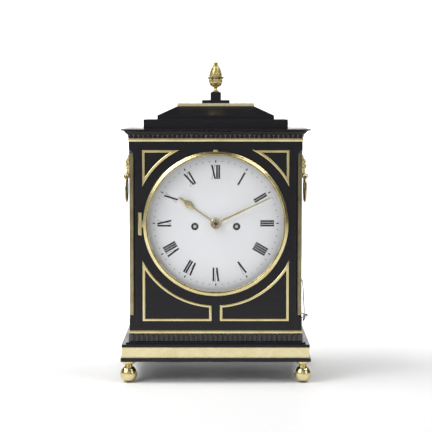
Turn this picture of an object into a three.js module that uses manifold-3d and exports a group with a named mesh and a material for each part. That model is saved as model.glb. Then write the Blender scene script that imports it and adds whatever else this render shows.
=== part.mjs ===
// A bracket clock: an ebonised case with brass mouldings, a round enamel dial behind a hinged
// bezel, and an eight-day two-train fusee movement with a short pendulum.
// Millimetres. X is right as seen from the front, the front faces -Y, Z is up from the table.

import * as THREE from 'three';
import { mergeVertices } from 'three/addons/utils/BufferGeometryUtils.js';
import loadManifold from 'manifold-3d';

const wasm = await loadManifold();
wasm.setup();

// ---------------------------------------------------------------- driving dimensions
// Clearances
const RUNNING_GAP = 0.3;
const PIVOT_PLAY = 0.5;
const END_SHAKE = 0.5;

// Case
const DIAL_SIDE_MARGIN = 20;
const DIAL_TOP_MARGIN = 13.5;
const DIAL_BOTTOM_MARGIN = 50.5;
const CASE_DEPTH = 176;
const WALL = 10;
const MOULDING_REBATE = 4;

// Feet and plinth, from the table up
const BALL_DIAMETER = 25.5;
const BALL_FLAT_RADIUS = 2.75;
const FOOT_NECK_RADIUS = 6;
const FOOT_COLLAR_RADIUS = 9;
const FOOT_COLLAR_HEIGHT = 3;
const FOOT_HEIGHT = 31.5;
const FOOT_INSET = 11.25;
const LOWER_FILLET_HEIGHT = 5.25;
const LOWER_FILLET_OUT = 12.75;
const BAND_HEIGHT = 16;
const BAND_OUT = 11;
const BAND_THICKNESS = 1.5;
const UPPER_FILLET_HEIGHT = 4;
const PLINTH_STEP_HEIGHT = 2.25;
const PLINTH_STEP_OUT = 5.25;
const REED_HEIGHT = 12;
const REED_OUT = 1.25;
const REED_DEPTH = 1.5;
const REED_PITCH = 7.1;
const STRING_HEIGHT = 5.25;
const STRING_OUT = 1;

// Cornice and roof
const ARCADE_HEIGHT = 5.25;
const CORNICE_HEIGHT = 7.5;
const CORNICE_OUT = 11;
const CORNICE_EDGE = 2;
const LOWER_TIER_HEIGHT = 13.75;
const LOWER_TIER_INSET = 20.5;
const UPPER_TIER_HEIGHT = 6;
const UPPER_TIER_INSET = 40;
const SLOPE_HEIGHT = 13.5;
const PLATFORM_DEPTH = 38.5;
const ROOF_BRASS_HEIGHT = 4.5;
const ROOF_BRASS_WIDTH = 3.5;
const FINIAL_PLATE_WIDTH = 41.5;
const FINIAL_PLATE_DEPTH = 24;
const FINIAL_PLATE_HEIGHT = 4.75;
const FINIAL_BLOCK_WIDTH = 15.75;
const FINIAL_BLOCK_HEIGHT = 11.75;
const FINIAL_HEIGHT = 46;
const FINIAL_CUP_RADIUS = 11.25;

// Front: dial opening, bezel and applied frames
const SIGHT_RADIUS = 99;
const BEZEL_WIDTH = 7.25;
const BEZEL_DEPTH = 7.5;
const BEZEL_LIP = 3;
const GLASS_THICKNESS = 1.5;
const GLASS_RISE = 5.75;
const HINGE_LENGTH = 33;
const HINGE_RADIUS = 2.25;
const HINGE_PIN_RADIUS = 0.9;
const FRAME_BAR = 4.25;
const FRAME_THICKNESS = 1.75;
const FRAME_DIAL_MARGIN = 13.25;
const FRAME_TOP_MARGIN = 11.75;
const FRAME_BOTTOM_MARGIN = 13.25;
const FRAME_SIDE_MARGIN = 19;
const FRAME_MIDDLE_GAP = 11.5;
const CANT_DEPTH = 6;
const CANT_STRIP_WIDTH = 8.25;
const CANT_STRIP_THICKNESS = 0.9;
const CANT_BOTTOM_MARGIN = 17;
const CANT_TOP_MARGIN = 12.25;
const CANT_CURVE = 16;

// Dial and hands
const DIAL_THICKNESS = 1.75;
const DIAL_RISE = 5;
const DIAL_SETBACK = 10;
const DIAL_FOOT_RADIUS = 2;
const DIAL_FOOT_SPREAD = 50;
const DIAL_FOOT_UP = 70;
const DIAL_FOOT_DOWN = 60;
const WINDING_SPREAD = 61;
const WINDING_DROP = 4.5;
const WINDING_HOLE_RADIUS = 5.5;
const WINDING_SQUARE = 3.75;
const HAND_THICKNESS = 1;
const HAND_SPACING = 3;
const COLLET_RADIUS = 7.75;
const MINUTE_HAND_LENGTH = 91;
const MINUTE_HAND_WIDTH = 4.25;
const MINUTE_HAND_ANGLE = 64.5;
const HOUR_HAND_LENGTH = 67.25;
const HOUR_HAND_PEAR_WIDTH = 11;
const HOUR_HAND_PEAR_RADIUS = 48;
const HOUR_HAND_ANGLE = 305.4;

// Side fittings
const MASK_WIDTH = 38;
const MASK_HEIGHT = 42.5;
const MASK_THICKNESS = 3;
const MASK_TOP_MARGIN = 15;
const MUZZLE_WIDTH = 8;
const MUZZLE_RADIUS = 4.5;
const RING_OUT = 9.25;
const RING_DIAMETER = 42;
const RING_WIRE = 3.75;
const FRET_WIDTH = 84;
const FRET_HEIGHT = 94;
const FRET_THICKNESS = 1.5;
const FRET_LEDGE = 4;
const FRET_BELOW_STRING = 104.75;
const CORD_DIAMETER = 1.75;
const CORD_ABOVE_STRING = 63.75;
const BUSH_FLANGE_RADIUS = 4;
const BUSH_LENGTH = 3;
const BUSH_SHANK_RADIUS = 2;
const BUSH_SHANK_LENGTH = 6;
const PULL_BELL_RADIUS = 4.5;
const PULL_BELL_LENGTH = 8.5;
const PULL_RING_RADIUS = 4;
const PULL_RING_WIRE = 1.25;
const PULL_RING_TURN = 49;

// Back door
const DOOR_RAIL = 19;
const DOOR_GLASS_THICKNESS = 2;
const DOOR_GLASS_REBATE = 4;
const DOOR_HINGE_LENGTH = 24;
const DOOR_HINGE_MARGIN = 30;
const DOOR_HINGE_LEAF = 7;
const HINGE_LEAF_THICKNESS = 1.25;
const CATCH_LENGTH = 15;
const CATCH_WIDTH = 6;
const CATCH_THICKNESS = 2;

// Movement: plates stand on the seatboard, behind the dial
const SEATBOARD_THICKNESS = 12;
const SEATBOARD_FRONT_GAP = 2;
const PLATE_WIDTH = 126;
const PLATE_ABOVE_CENTER = 83;
const PLATE_BELOW_CENTER = 70;
const PLATE_THICKNESS = 3;
const PLATE_SPACING = 60;
const DIAL_TO_PLATE = 20;
const PILLAR_RADIUS = 4;
const PILLAR_INSET = 8;
const ARBOR_RADIUS = 1.1;
const PIVOT_RADIUS = 0.75;
const WHEEL_THICKNESS = 2;
const PINION_LENGTH = 3;
const GREAT_WHEEL_TEETH = 72;
const CENTER_WHEEL_TEETH = 72;
const THIRD_WHEEL_TEETH = 66;
const PINION_LEAVES = 6;
const ESCAPE_WHEEL_TEETH = 30;
const MOTION_WHEEL_TEETH = 36;
const HOUR_WHEEL_TEETH = 72;
const CENTER_TO_THIRD = 27.25;
const THIRD_TO_ESCAPE = 23.5;
const THIRD_OFFSET = 12;
const ESCAPE_WHEEL_RADIUS = 14;
const PALLETS_ABOVE_ESCAPE = 20;
const CENTER_TO_MINUTE_WHEEL = 28.75;
const CENTER_ARBOR_RADIUS = 1.25;
const CANNON_PIPE_RADIUS = 2.2;
const HOUR_PIPE_RADIUS = 3.6;
const PIPE_WALL = 0.6;
const FUSEE_LARGE_RADIUS = 19;
const FUSEE_SMALL_RADIUS = 9;
const FUSEE_ARBOR_RADIUS = 2.5;
const BARREL_RADIUS = 20;
const BARREL_SPREAD = 66;
const BARREL_DROP = 45;
const PENDULUM_CLEARANCE = 7.7;
const PENDULUM_ROD_END = 5;
const RATING_NUT_RADIUS = 3;
const RATING_NUT_HEIGHT = 2.5;
const SUSPENSION_LENGTH = 14;
const BOB_RADIUS = 21;
const BOB_THICKNESS = 12;
const PENDULUM_ROD_RADIUS = 1.5;
const PENDULUM_BEHIND_PLATE = 19;
const CRUTCH_LENGTH = 48;
const BELL_RADIUS = 36;
const BELL_HEIGHT = 25;
const BELL_WALL = 2;
const BELL_ABOVE_PLATES = 9;
const HAMMER_OFFSET = 7;
const HAMMER_ARM = 41;
const HAMMER_HEAD_RADIUS = 3.5;
const HAMMER_HEAD_LENGTH = 8;
const HAMMER_ARM_WIDTH = 3;
const HAMMER_ARM_THICKNESS = 2.5;

// Facets
const LARGE_CIRCLE = 36;
const SMALL_CIRCLE = 12;
const PIVOT_SIDES = 8;

// ---------------------------------------------------------------- levels and places
const bezelOuterRadius = SIGHT_RADIUS + BEZEL_WIDTH;
const halfWidth = bezelOuterRadius + DIAL_SIDE_MARGIN;
const halfDepth = CASE_DEPTH / 2;
const frontY = -halfDepth;
const bandBottom = FOOT_HEIGHT + LOWER_FILLET_HEIGHT;
const bandTop = bandBottom + BAND_HEIGHT;
const filletTop = bandTop + UPPER_FILLET_HEIGHT;
const plinthTop = filletTop + PLINTH_STEP_HEIGHT;
const reedTop = plinthTop + REED_HEIGHT;
const bodyBottom = reedTop + STRING_HEIGHT;
const dialZ = bodyBottom + DIAL_BOTTOM_MARGIN + bezelOuterRadius;
const bodyTop = dialZ + bezelOuterRadius + DIAL_TOP_MARGIN;
const arcadeBottom = bodyTop + STRING_HEIGHT;
const corniceBottom = arcadeBottom + ARCADE_HEIGHT;
const roofBottom = corniceBottom + CORNICE_HEIGHT;
const slopeInset = halfDepth - PLATFORM_DEPTH / 2;
const lowerTierTop = roofBottom + LOWER_TIER_HEIGHT;
const upperTierTop = lowerTierTop + UPPER_TIER_HEIGHT;
const slopeTop = upperTierTop + SLOPE_HEIGHT;
const platformTop = slopeTop + ROOF_BRASS_HEIGHT;
const finialPlateTop = platformTop + FINIAL_PLATE_HEIGHT;
const finialBottom = finialPlateTop + FINIAL_BLOCK_HEIGHT;

const glassSeatRadius = SIGHT_RADIUS + 2.25;
const dialRadius = SIGHT_RADIUS + 1.75;
const apertureRadius = glassSeatRadius + 0.25;
const dialRimY = frontY + DIAL_SETBACK;
const dialCrownY = dialRimY - DIAL_RISE;
const hourHandY = dialCrownY - HAND_SPACING;
const minuteHandY = hourHandY - HAND_SPACING;
const glassRimY = frontY - BEZEL_LIP + RUNNING_GAP;

const plateFrontY = dialRimY + DIAL_TO_PLATE;
const frontPlateBackY = plateFrontY + PLATE_THICKNESS;
const backPlateFrontY = frontPlateBackY + PLATE_SPACING;
const backPlateBackY = backPlateFrontY + PLATE_THICKNESS;
const seatboardTop = dialZ - PLATE_BELOW_CENTER;
const fuseeX = WINDING_SPREAD / 2;
const barrelX = BARREL_SPREAD / 2;
const fuseeToCenter = Math.hypot(fuseeX, WINDING_DROP);
const thirdZ = Math.sqrt(CENTER_TO_THIRD ** 2 - THIRD_OFFSET ** 2);
const escapeZ = thirdZ + Math.sqrt(THIRD_TO_ESCAPE ** 2 - THIRD_OFFSET ** 2);
const palletsZ = escapeZ + PALLETS_ABOVE_ESCAPE;
const pendulumY = backPlateBackY + PENDULUM_BEHIND_PLATE;
const goingWheelY = frontPlateBackY + 1;
const strikeWheelY = goingWheelY + 4.5;
const coneStartY = strikeWheelY + WHEEL_THICKNESS + RUNNING_GAP;
const coneEndY = backPlateFrontY - 13;
const centerWheelY = backPlateFrontY - 4;
const thirdWheelY = centerWheelY - 9;
const escapeWheelY = thirdWheelY - 6;
const cannonWheelY = plateFrontY - 3;
const hourWheelY = cannonWheelY - 3.5;

// ---------------------------------------------------------------- geometry helpers
// Merges the corners that faces share, drops faces without area and turns the faces outward.
function closed(geometry) {
  const bare = geometry.clone();
  bare.deleteAttribute('normal');
  bare.deleteAttribute('uv');
  const merged = mergeVertices(bare, 1e-4);
  const position = merged.attributes.position;
  const kept = [];
  let volume = 0;
  const corner = [0, 1, 2].map(() => new THREE.Vector3());
  for (let i = 0; i < merged.index.count; i += 3) {
    const face = [0, 1, 2].map((k) => merged.index.getX(i + k));
    if (face[0] === face[1] || face[1] === face[2] || face[2] === face[0]) continue;
    kept.push(face);
    face.forEach((vertex, k) => corner[k].fromBufferAttribute(position, vertex));
    volume += corner[0].dot(corner[1].cross(corner[2]));
  }
  const faces = volume < 0 ? kept.map(([a, b, c]) => [a, c, b]) : kept;
  merged.setIndex(faces.flat());
  merged.computeVertexNormals();
  return merged;
}

function toSolid(geometry) {
  const shape = closed(geometry);
  return new wasm.Manifold(new wasm.Mesh({
    numProp: 3,
    vertProperties: new Float32Array(shape.attributes.position.array),
    triVerts: new Uint32Array(shape.index.array),
  }));
}

function toGeometry(solid) {
  const mesh = solid.getMesh();
  const geometry = new THREE.BufferGeometry();
  geometry.setAttribute('position', new THREE.BufferAttribute(mesh.vertProperties, 3));
  geometry.setIndex(new THREE.BufferAttribute(mesh.triVerts, 1));
  geometry.computeVertexNormals();
  return geometry;
}

function join(...geometries) {
  return toGeometry(geometries.map(toSolid).reduce((whole, piece) => whole.add(piece)));
}

function cut(geometry, ...tools) {
  return toGeometry(tools.map(toSolid).reduce((whole, tool) => whole.subtract(tool), toSolid(geometry)));
}

function common(geometry, other) {
  return toGeometry(toSolid(geometry).intersect(toSolid(other)));
}

function block(x0, x1, y0, y1, z0, z1) {
  return new THREE.BoxGeometry(x1 - x0, y1 - y0, z1 - z0)
    .translate((x0 + x1) / 2, (y0 + y1) / 2, (z0 + z1) / 2);
}

// A body turned about an axis; the profile is [radius, distance along the axis] pairs.
function turned(profile, axis, sides = SMALL_CIRCLE) {
  const points = profile.map(([radius, along]) => new THREE.Vector2(radius, along));
  const geometry = new THREE.LatheGeometry(points, sides);
  if (axis === 'z') geometry.rotateX(Math.PI / 2);
  if (axis === 'x') geometry.rotateZ(-Math.PI / 2);
  return geometry;
}

function rod(radius, from, to, axis = 'y', sides = SMALL_CIRCLE) {
  return turned([[0, from], [radius, from], [radius, to], [0, to]], axis, sides);
}

// A pipe; its profile closes on itself.
function pipe(outer, inner, from, to, sides = SMALL_CIRCLE) {
  return turned([[inner, from], [outer, from], [outer, to], [inner, to], [inner, from]], 'y', sides);
}

// A flat piece drawn as seen from the front, between two depths.
function frontPlate(shape, y0, y1, curveSegments = SMALL_CIRCLE) {
  return new THREE.ExtrudeGeometry(shape, { depth: y1 - y0, bevelEnabled: false, curveSegments })
    .rotateX(Math.PI / 2)
    .translate(0, y1, 0);
}

// A flat piece drawn as seen from above, between two heights.
function levelPlate(shape, z0, z1) {
  return new THREE.ExtrudeGeometry(shape, { depth: z1 - z0, bevelEnabled: false })
    .translate(0, 0, z0);
}

// A shape's outer line runs counterclockwise, so that its holes are turned the right way.
function outline(points, hole) {
  const line = points.map(([x, y]) => new THREE.Vector2(x, y));
  if (THREE.ShapeUtils.isClockWise(line)) line.reverse();
  const shape = new THREE.Shape(line);
  if (hole) shape.holes.push(new THREE.Path(hole.map(([x, y]) => new THREE.Vector2(x, y))));
  return shape;
}

function rectangle(x, y) {
  return [[-x, -y], [x, -y], [x, y], [-x, y]];
}

function circlePoints(radius, x = 0, z = 0, sides = PIVOT_SIDES) {
  return Array.from({ length: sides }, (_, i) => {
    const angle = (2 * Math.PI * i) / sides;
    return [x + radius * Math.cos(angle), z + radius * Math.sin(angle)];
  });
}

// A rectangular frame around the case, as an outline with a hole.
function surround(outer, inner) {
  return outline(
    rectangle(halfWidth + outer, halfDepth + outer),
    rectangle(halfWidth + inner, halfDepth + inner),
  );
}

// The same frame with its outer faces broken into equal flutes.
function flutedSurround(outer, inner, depth) {
  const x = halfWidth + outer;
  const y = halfDepth + outer;
  const corners = rectangle(x, y);
  const points = [];
  corners.forEach((corner, side) => {
    const next = corners[(side + 1) % corners.length];
    const run = [next[0] - corner[0], next[1] - corner[1]];
    const length = Math.hypot(...run);
    const count = Math.round(length / REED_PITCH);
    const inward = [-run[1] / length, run[0] / length];
    for (let i = 0; i < count; i += 1) {
      const crest = i / count;
      const valley = (i + 0.5) / count;
      points.push([corner[0] + run[0] * crest, corner[1] + run[1] * crest]);
      points.push([
        corner[0] + run[0] * valley + inward[0] * depth,
        corner[1] + run[1] * valley + inward[1] * depth,
      ]);
    }
  });
  return outline(points, rectangle(halfWidth + inner, halfDepth + inner));
}

// A stack of rectangles, each [half width, half depth, height], skinned into one body.
function tiers(sections) {
  const signs = [[-1, -1], [1, -1], [1, 1], [-1, 1]];
  const positions = sections.flatMap(([x, y, z]) => signs.flatMap(([i, j]) => [i * x, j * y, z]));
  const index = [0, 2, 1, 0, 3, 2];
  for (let level = 0; level < sections.length - 1; level += 1) {
    for (let side = 0; side < 4; side += 1) {
      const a = 4 * level + side;
      const b = 4 * level + ((side + 1) % 4);
      index.push(a, b, b + 4, a, b + 4, a + 4);
    }
  }
  const top = 4 * (sections.length - 1);
  index.push(top, top + 1, top + 2, top, top + 2, top + 3);
  const geometry = new THREE.BufferGeometry();
  geometry.setAttribute('position', new THREE.Float32BufferAttribute(positions, 3));
  geometry.setIndex(index);
  return geometry;
}

function surroundTiers(levels) {
  return tiers(levels.map(([out, z]) => [halfWidth + out, halfDepth + out, z]));
}

function extrudeAlong(shape, points, steps) {
  const extrudePath = new THREE.CatmullRomCurve3(points.map((point) => new THREE.Vector3(...point)));
  return new THREE.ExtrudeGeometry(shape, { extrudePath, steps, bevelEnabled: false });
}

// ---------------------------------------------------------------- gears
// A wheel's teeth are a zigzag; firstTip is the angle of one tip from +X.
function toothed(teeth, pitchRadius, firstTip, bore) {
  const module = (2 * pitchRadius) / teeth;
  const points = [];
  for (let i = 0; i < teeth; i += 1) {
    const tip = firstTip + (2 * Math.PI * i) / teeth;
    const root = tip + Math.PI / teeth;
    const tipRadius = pitchRadius + 0.55 * module;
    const rootRadius = pitchRadius - module;
    points.push([tipRadius * Math.cos(tip), tipRadius * Math.sin(tip)]);
    points.push([rootRadius * Math.cos(root), rootRadius * Math.sin(root)]);
  }
  return outline(points, bore ? circlePoints(bore, 0, 0, SMALL_CIRCLE) : undefined);
}

function pitchShare(distance, teeth, otherTeeth) {
  return (distance * teeth) / (teeth + otherTeeth);
}

// Phase of a wheel whose tip points along the line of centres, and of its partner, which
// shows a gap there.
function tipToward(angle) {
  return angle;
}

function gapToward(angle, teeth) {
  return angle + Math.PI / teeth;
}

// An arbor between the plates with a thin pivot through each plate.
function arbor(radius, pivotRadius = PIVOT_RADIUS) {
  const front = frontPlateBackY + END_SHAKE;
  const back = backPlateFrontY - END_SHAKE;
  return turned([
    [0, plateFrontY], [pivotRadius, plateFrontY], [pivotRadius, front], [radius, front],
    [radius, back], [pivotRadius, back], [pivotRadius, backPlateBackY], [0, backPlateBackY],
  ], 'y', PIVOT_SIDES);
}

// ---------------------------------------------------------------- case
function foot() {
  const radius = BALL_DIAMETER / 2;
  const center = Math.sqrt(radius ** 2 - BALL_FLAT_RADIUS ** 2);
  const low = Math.asin(-center / radius);
  const high = Math.acos(FOOT_NECK_RADIUS / radius);
  const ball = Array.from({ length: 7 }, (_, i) => {
    const angle = low + ((high - low) * i) / 6;
    return [radius * Math.cos(angle), center + radius * Math.sin(angle)];
  });
  return turned([
    [0, 0], [BALL_FLAT_RADIUS, 0], ...ball.slice(1),
    [FOOT_NECK_RADIUS, FOOT_HEIGHT - FOOT_COLLAR_HEIGHT],
    [FOOT_COLLAR_RADIUS, FOOT_HEIGHT - FOOT_COLLAR_HEIGHT],
    [FOOT_COLLAR_RADIUS, FOOT_HEIGHT], [0, FOOT_HEIGHT],
  ], 'z', SMALL_CIRCLE);
}

function plinth() {
  const core = BAND_OUT - BAND_THICKNESS;
  return surroundTiers([
    [LOWER_FILLET_OUT, FOOT_HEIGHT], [LOWER_FILLET_OUT, bandBottom], [core, bandBottom],
    [core, bandTop], [BAND_OUT, bandTop], [BAND_OUT, filletTop], [PLINTH_STEP_OUT, filletTop],
    [PLINTH_STEP_OUT, plinthTop],
  ]);
}

// The cant's line, as [depth from the square corner, height], from the bottom up.
function cantLine(shift) {
  const steps = 5;
  const bottom = bodyBottom + CANT_BOTTOM_MARGIN;
  const top = bodyTop - CANT_TOP_MARGIN;
  const curve = Array.from({ length: steps + 1 }, (_, i) => {
    const turn = (Math.PI / 2) * (i / steps);
    return [CANT_DEPTH * Math.sin(turn), CANT_CURVE * (1 - Math.cos(turn))];
  });
  const lower = curve.map(([depth, rise]) => [depth + shift, bottom + rise]);
  const upper = [...curve].reverse().map(([depth, rise]) => [depth + shift, top - rise]);
  return [...lower, ...upper];
}

// Turns a piece drawn as [depth from the corner, height] to a front corner of the case.
function atFrontCorner(geometry, side) {
  const inward = new THREE.Vector3(-side, 1, 0).normalize();
  const up = new THREE.Vector3(0, 0, 1);
  const along = new THREE.Vector3().crossVectors(inward, up);
  return geometry
    .applyMatrix4(new THREE.Matrix4().makeBasis(inward, up, along))
    .translate(side * halfWidth, frontY, 0);
}

function cantCutter(side) {
  const clear = 2 * CANT_DEPTH;
  const line = cantLine(0);
  const shape = outline([[-clear, line[0][1]], ...line, [-clear, line[line.length - 1][1]]]);
  return atFrontCorner(levelPlate(shape, -2 * clear, 2 * clear), side);
}

function cornerStrip(side) {
  const face = cantLine(-RUNNING_GAP - CANT_STRIP_THICKNESS).reverse();
  const shape = outline([...cantLine(-RUNNING_GAP), ...face]);
  const strip = levelPlate(shape, -CANT_STRIP_WIDTH / 2, CANT_STRIP_WIDTH / 2);
  const corner = halfWidth - RUNNING_GAP;
  return common(
    atFrontCorner(strip, side),
    block(-corner, corner, frontY + RUNNING_GAP, 0, bodyBottom, bodyTop),
  );
}

function fretOpening(side, halfSpan, low, high) {
  return side > 0
    ? block(halfWidth - halfSpan, halfWidth + 1, -low, low, high[0], high[1])
    : block(-halfWidth - 1, -halfWidth + halfSpan, -low, low, high[0], high[1]);
}

function sidePanel(side) {
  const inner = halfWidth - WALL;
  const rebated = halfWidth - MOULDING_REBATE;
  const spanX = (a, b) => (side > 0 ? [a, b] : [-b, -a]);
  const [coreLow, coreHigh] = spanX(inner, rebated);
  const [bodyLow, bodyHigh] = spanX(inner, halfWidth);
  const rebatedY = halfDepth - MOULDING_REBATE;
  const fretTop = bodyTop - FRET_BELOW_STRING;
  const fretBottom = fretTop - FRET_HEIGHT;
  const through = FRET_WIDTH / 2 - FRET_LEDGE;
  const tools = [
    cantCutter(side),
    fretOpening(side, 2 * WALL, through, [fretBottom + FRET_LEDGE, fretTop - FRET_LEDGE]),
    fretOpening(side, FRET_THICKNESS, FRET_WIDTH / 2, [fretBottom, fretTop]),
  ];
  if (side > 0) {
    tools.push(rod(BUSH_SHANK_RADIUS + 2 * RUNNING_GAP, halfWidth - WALL - 1, halfWidth + 1, 'x', PIVOT_SIDES)
      .translate(0, 0, bodyBottom + CORD_ABOVE_STRING));
    tools.push(rod(PIVOT_RADIUS + 2 * RUNNING_GAP, halfDepth - WALL, halfDepth + 1, 'y', PIVOT_SIDES)
      .translate(halfWidth - WALL / 2, 0, dialZ));
  }
  return cut(
    join(
      block(coreLow, coreHigh, -rebatedY, rebatedY, plinthTop, corniceBottom),
      block(bodyLow, bodyHigh, -halfDepth, halfDepth, bodyBottom, bodyTop),
    ),
    ...tools,
  );
}

function frontPanel() {
  const x = halfWidth - WALL;
  const back = frontY + WALL;
  const rebatedFront = frontY + MOULDING_REBATE;
  return cut(
    join(
      block(-x, x, rebatedFront, back, plinthTop, corniceBottom),
      block(-x, x, frontY, back, bodyBottom, bodyTop),
    ),
    rod(apertureRadius, frontY - 1, back + 1, 'y', LARGE_CIRCLE).translate(0, 0, dialZ),
  );
}

function cornice() {
  const overlap = 0.5;
  const skirt = levelPlate(
    flutedSurround(REED_OUT, -MOULDING_REBATE, REED_DEPTH), arcadeBottom, corniceBottom + overlap,
  );
  const board = surroundTiers([
    [REED_OUT + 0.75, corniceBottom], [REED_OUT + 3, corniceBottom + 0.75],
    [REED_OUT + 4.5, corniceBottom + 3.25], [CORNICE_OUT - 3, roofBottom - CORNICE_EDGE],
    [CORNICE_OUT, roofBottom - CORNICE_EDGE], [CORNICE_OUT, roofBottom],
  ]);
  return join(board, skirt);
}

function roof() {
  const inset = (amount, z) => [halfWidth - amount, halfDepth - amount, z];
  return tiers([
    inset(LOWER_TIER_INSET, roofBottom), inset(LOWER_TIER_INSET, lowerTierTop),
    inset(UPPER_TIER_INSET, lowerTierTop), inset(UPPER_TIER_INSET, upperTierTop),
    inset(slopeInset, slopeTop), inset(slopeInset + ROOF_BRASS_WIDTH, slopeTop),
    inset(slopeInset + ROOF_BRASS_WIDTH, platformTop),
    [FINIAL_PLATE_WIDTH / 2, FINIAL_PLATE_DEPTH / 2, platformTop],
    [FINIAL_PLATE_WIDTH / 2, FINIAL_PLATE_DEPTH / 2, finialPlateTop],
    [FINIAL_BLOCK_WIDTH / 2, FINIAL_BLOCK_WIDTH / 2, finialPlateTop],
    [FINIAL_BLOCK_WIDTH / 2, FINIAL_BLOCK_WIDTH / 2, finialBottom],
  ]);
}

// Scales and leaves are a turned body whose radius rises and falls from side to side.
function pineapple() {
  const unit = FINIAL_HEIGHT / 46;
  const cup = FINIAL_CUP_RADIUS / 11.25;
  const profile = [
    [0, 0], [6.5, 0], [6, 1.5], [3.4, 4], [3, 6], [4.5, 7.5], [2.5, 8.5], [8.5, 11.5], [11.25, 16],
    [10.5, 20], [12.25, 22], [9, 22.5], [9, 26], [8.2, 30], [6.6, 34], [4.4, 38], [2.6, 41.5],
    [2, 43.5], [4, 46], [0, 46],
  ];
  const sides = 16;
  const leafLevels = [9, 10];
  const scaleLevels = [12, 13, 14, 15];
  const geometry = turned(profile.map(([r, z]) => [r * cup, z * unit]), 'z', sides);
  const position = geometry.attributes.position;
  for (let i = 0; i < position.count; i += 1) {
    const level = i % profile.length;
    const side = Math.floor(i / profile.length);
    const leaf = leafLevels.includes(level) && side % 2 === 1 ? 0.9 : 1;
    const scale = scaleLevels.includes(level) && (side + level) % 2 === 1 ? 0.9 : 1;
    position.setX(i, position.getX(i) * leaf * scale);
    position.setY(i, position.getY(i) * leaf * scale);
  }
  return geometry;
}

// An applied brass frame around a spandrel. Its slanting side follows the dial, and where that
// curve doesn't reach the frame's side or edge, the frame turns a corner short of the middle.
function spandrelFrame(side, upper) {
  const sign = upper ? 1 : -1;
  const edge = upper ? bodyTop - dialZ - FRAME_TOP_MARGIN : dialZ - bodyBottom - FRAME_BOTTOM_MARGIN;
  const loop = (inset) => {
    const x = halfWidth - FRAME_SIDE_MARGIN - inset;
    const z = edge - inset;
    const near = FRAME_MIDDLE_GAP / 2 + inset;
    const r = bezelOuterRadius + FRAME_DIAL_MARGIN + inset;
    const meetsSide = Math.hypot(x, near) < r;
    const meetsEdge = Math.hypot(z, near) < r;
    const from = meetsSide ? Math.acos(x / r) : Math.asin(near / r);
    const to = meetsEdge ? Math.asin(z / r) : Math.acos(near / r);
    const steps = 10;
    const arc = Array.from({ length: steps + 1 }, (_, i) => {
      const angle = from + ((to - from) * i) / steps;
      return [r * Math.cos(angle), r * Math.sin(angle)];
    });
    const corners = [...(meetsEdge ? [] : [[near, z]]), [x, z], ...(meetsSide ? [] : [[x, near]])];
    return [...arc, ...corners].map(([a, b]) => [side * a, sign * b]);
  };
  return frontPlate(outline(loop(0), loop(FRAME_BAR)), frontY - FRAME_THICKNESS, frontY);
}

// ---------------------------------------------------------------- bezel, glass, dial
const bezelHingeX = -(bezelOuterRadius + HINGE_RADIUS + 1);
const bezelHingeY = frontY - HINGE_RADIUS - 0.25;
const pinBore = HINGE_PIN_RADIUS + RUNNING_GAP + 0.05;

function knuckle(low, high, x, y) {
  return rod(HINGE_RADIUS, low, high, 'z').translate(x, y, 0);
}

function bezel() {
  const front = frontY - BEZEL_DEPTH;
  const ring = turned([
    [glassSeatRadius, frontY], [bezelOuterRadius, frontY], [bezelOuterRadius, frontY - 2.5],
    [bezelOuterRadius - 1.5, front + 1.5], [bezelOuterRadius - 3.75, front],
    [SIGHT_RADIUS + 1, front + 1], [SIGHT_RADIUS, frontY - BEZEL_LIP - 1.5],
    [SIGHT_RADIUS, frontY - BEZEL_LIP], [glassSeatRadius, frontY - BEZEL_LIP],
    [glassSeatRadius, frontY],
  ], 'y', LARGE_CIRCLE);
  const half = HINGE_LENGTH / 6 - RUNNING_GAP;
  const lip = block(-3.5, 3.5, frontY - 5, frontY - 1, bezelOuterRadius - 2, bezelOuterRadius + 2);
  const arm = block(bezelHingeX, -bezelOuterRadius + 2, bezelHingeY - 1, bezelHingeY + 1, -half, half);
  return cut(
    join(ring, lip, arm, knuckle(-half, half, bezelHingeX, bezelHingeY)),
    rod(pinBore, -HINGE_LENGTH, HINGE_LENGTH, 'z').translate(bezelHingeX, bezelHingeY, 0),
  );
}

function bezelHinge() {
  const end = HINGE_LENGTH / 2;
  const inner = HINGE_LENGTH / 6;
  const outer = bezelHingeX - HINGE_RADIUS - 3;
  const leafY = frontY - HINGE_LEAF_THICKNESS;
  const tab = (low, high) => block(outer, bezelHingeX, leafY, frontY, low, high);
  return join(
    rod(HINGE_PIN_RADIUS, -end, end, 'z').translate(bezelHingeX, bezelHingeY, 0),
    knuckle(-end, -inner, bezelHingeX, bezelHingeY),
    knuckle(inner, end, bezelHingeX, bezelHingeY),
    tab(-end, -inner),
    tab(inner, end),
    block(outer, bezelHingeX - HINGE_RADIUS - 0.5, leafY, frontY, -end, end),
  );
}

function bezelGlass() {
  const rim = glassSeatRadius - 2 * RUNNING_GAP;
  const flat = SIGHT_RADIUS - 1;
  const dome = [1, 0.7, 0.35, 0].map((share) => [
    flat * share, glassRimY - GLASS_RISE * (1 - share ** 2),
  ]);
  const inside = dome.map(([r, y]) => [r, y + GLASS_THICKNESS]).reverse();
  return turned([
    ...inside, [rim, glassRimY + GLASS_THICKNESS], [rim, glassRimY], ...dome,
  ], 'y', LARGE_CIRCLE);
}

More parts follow.
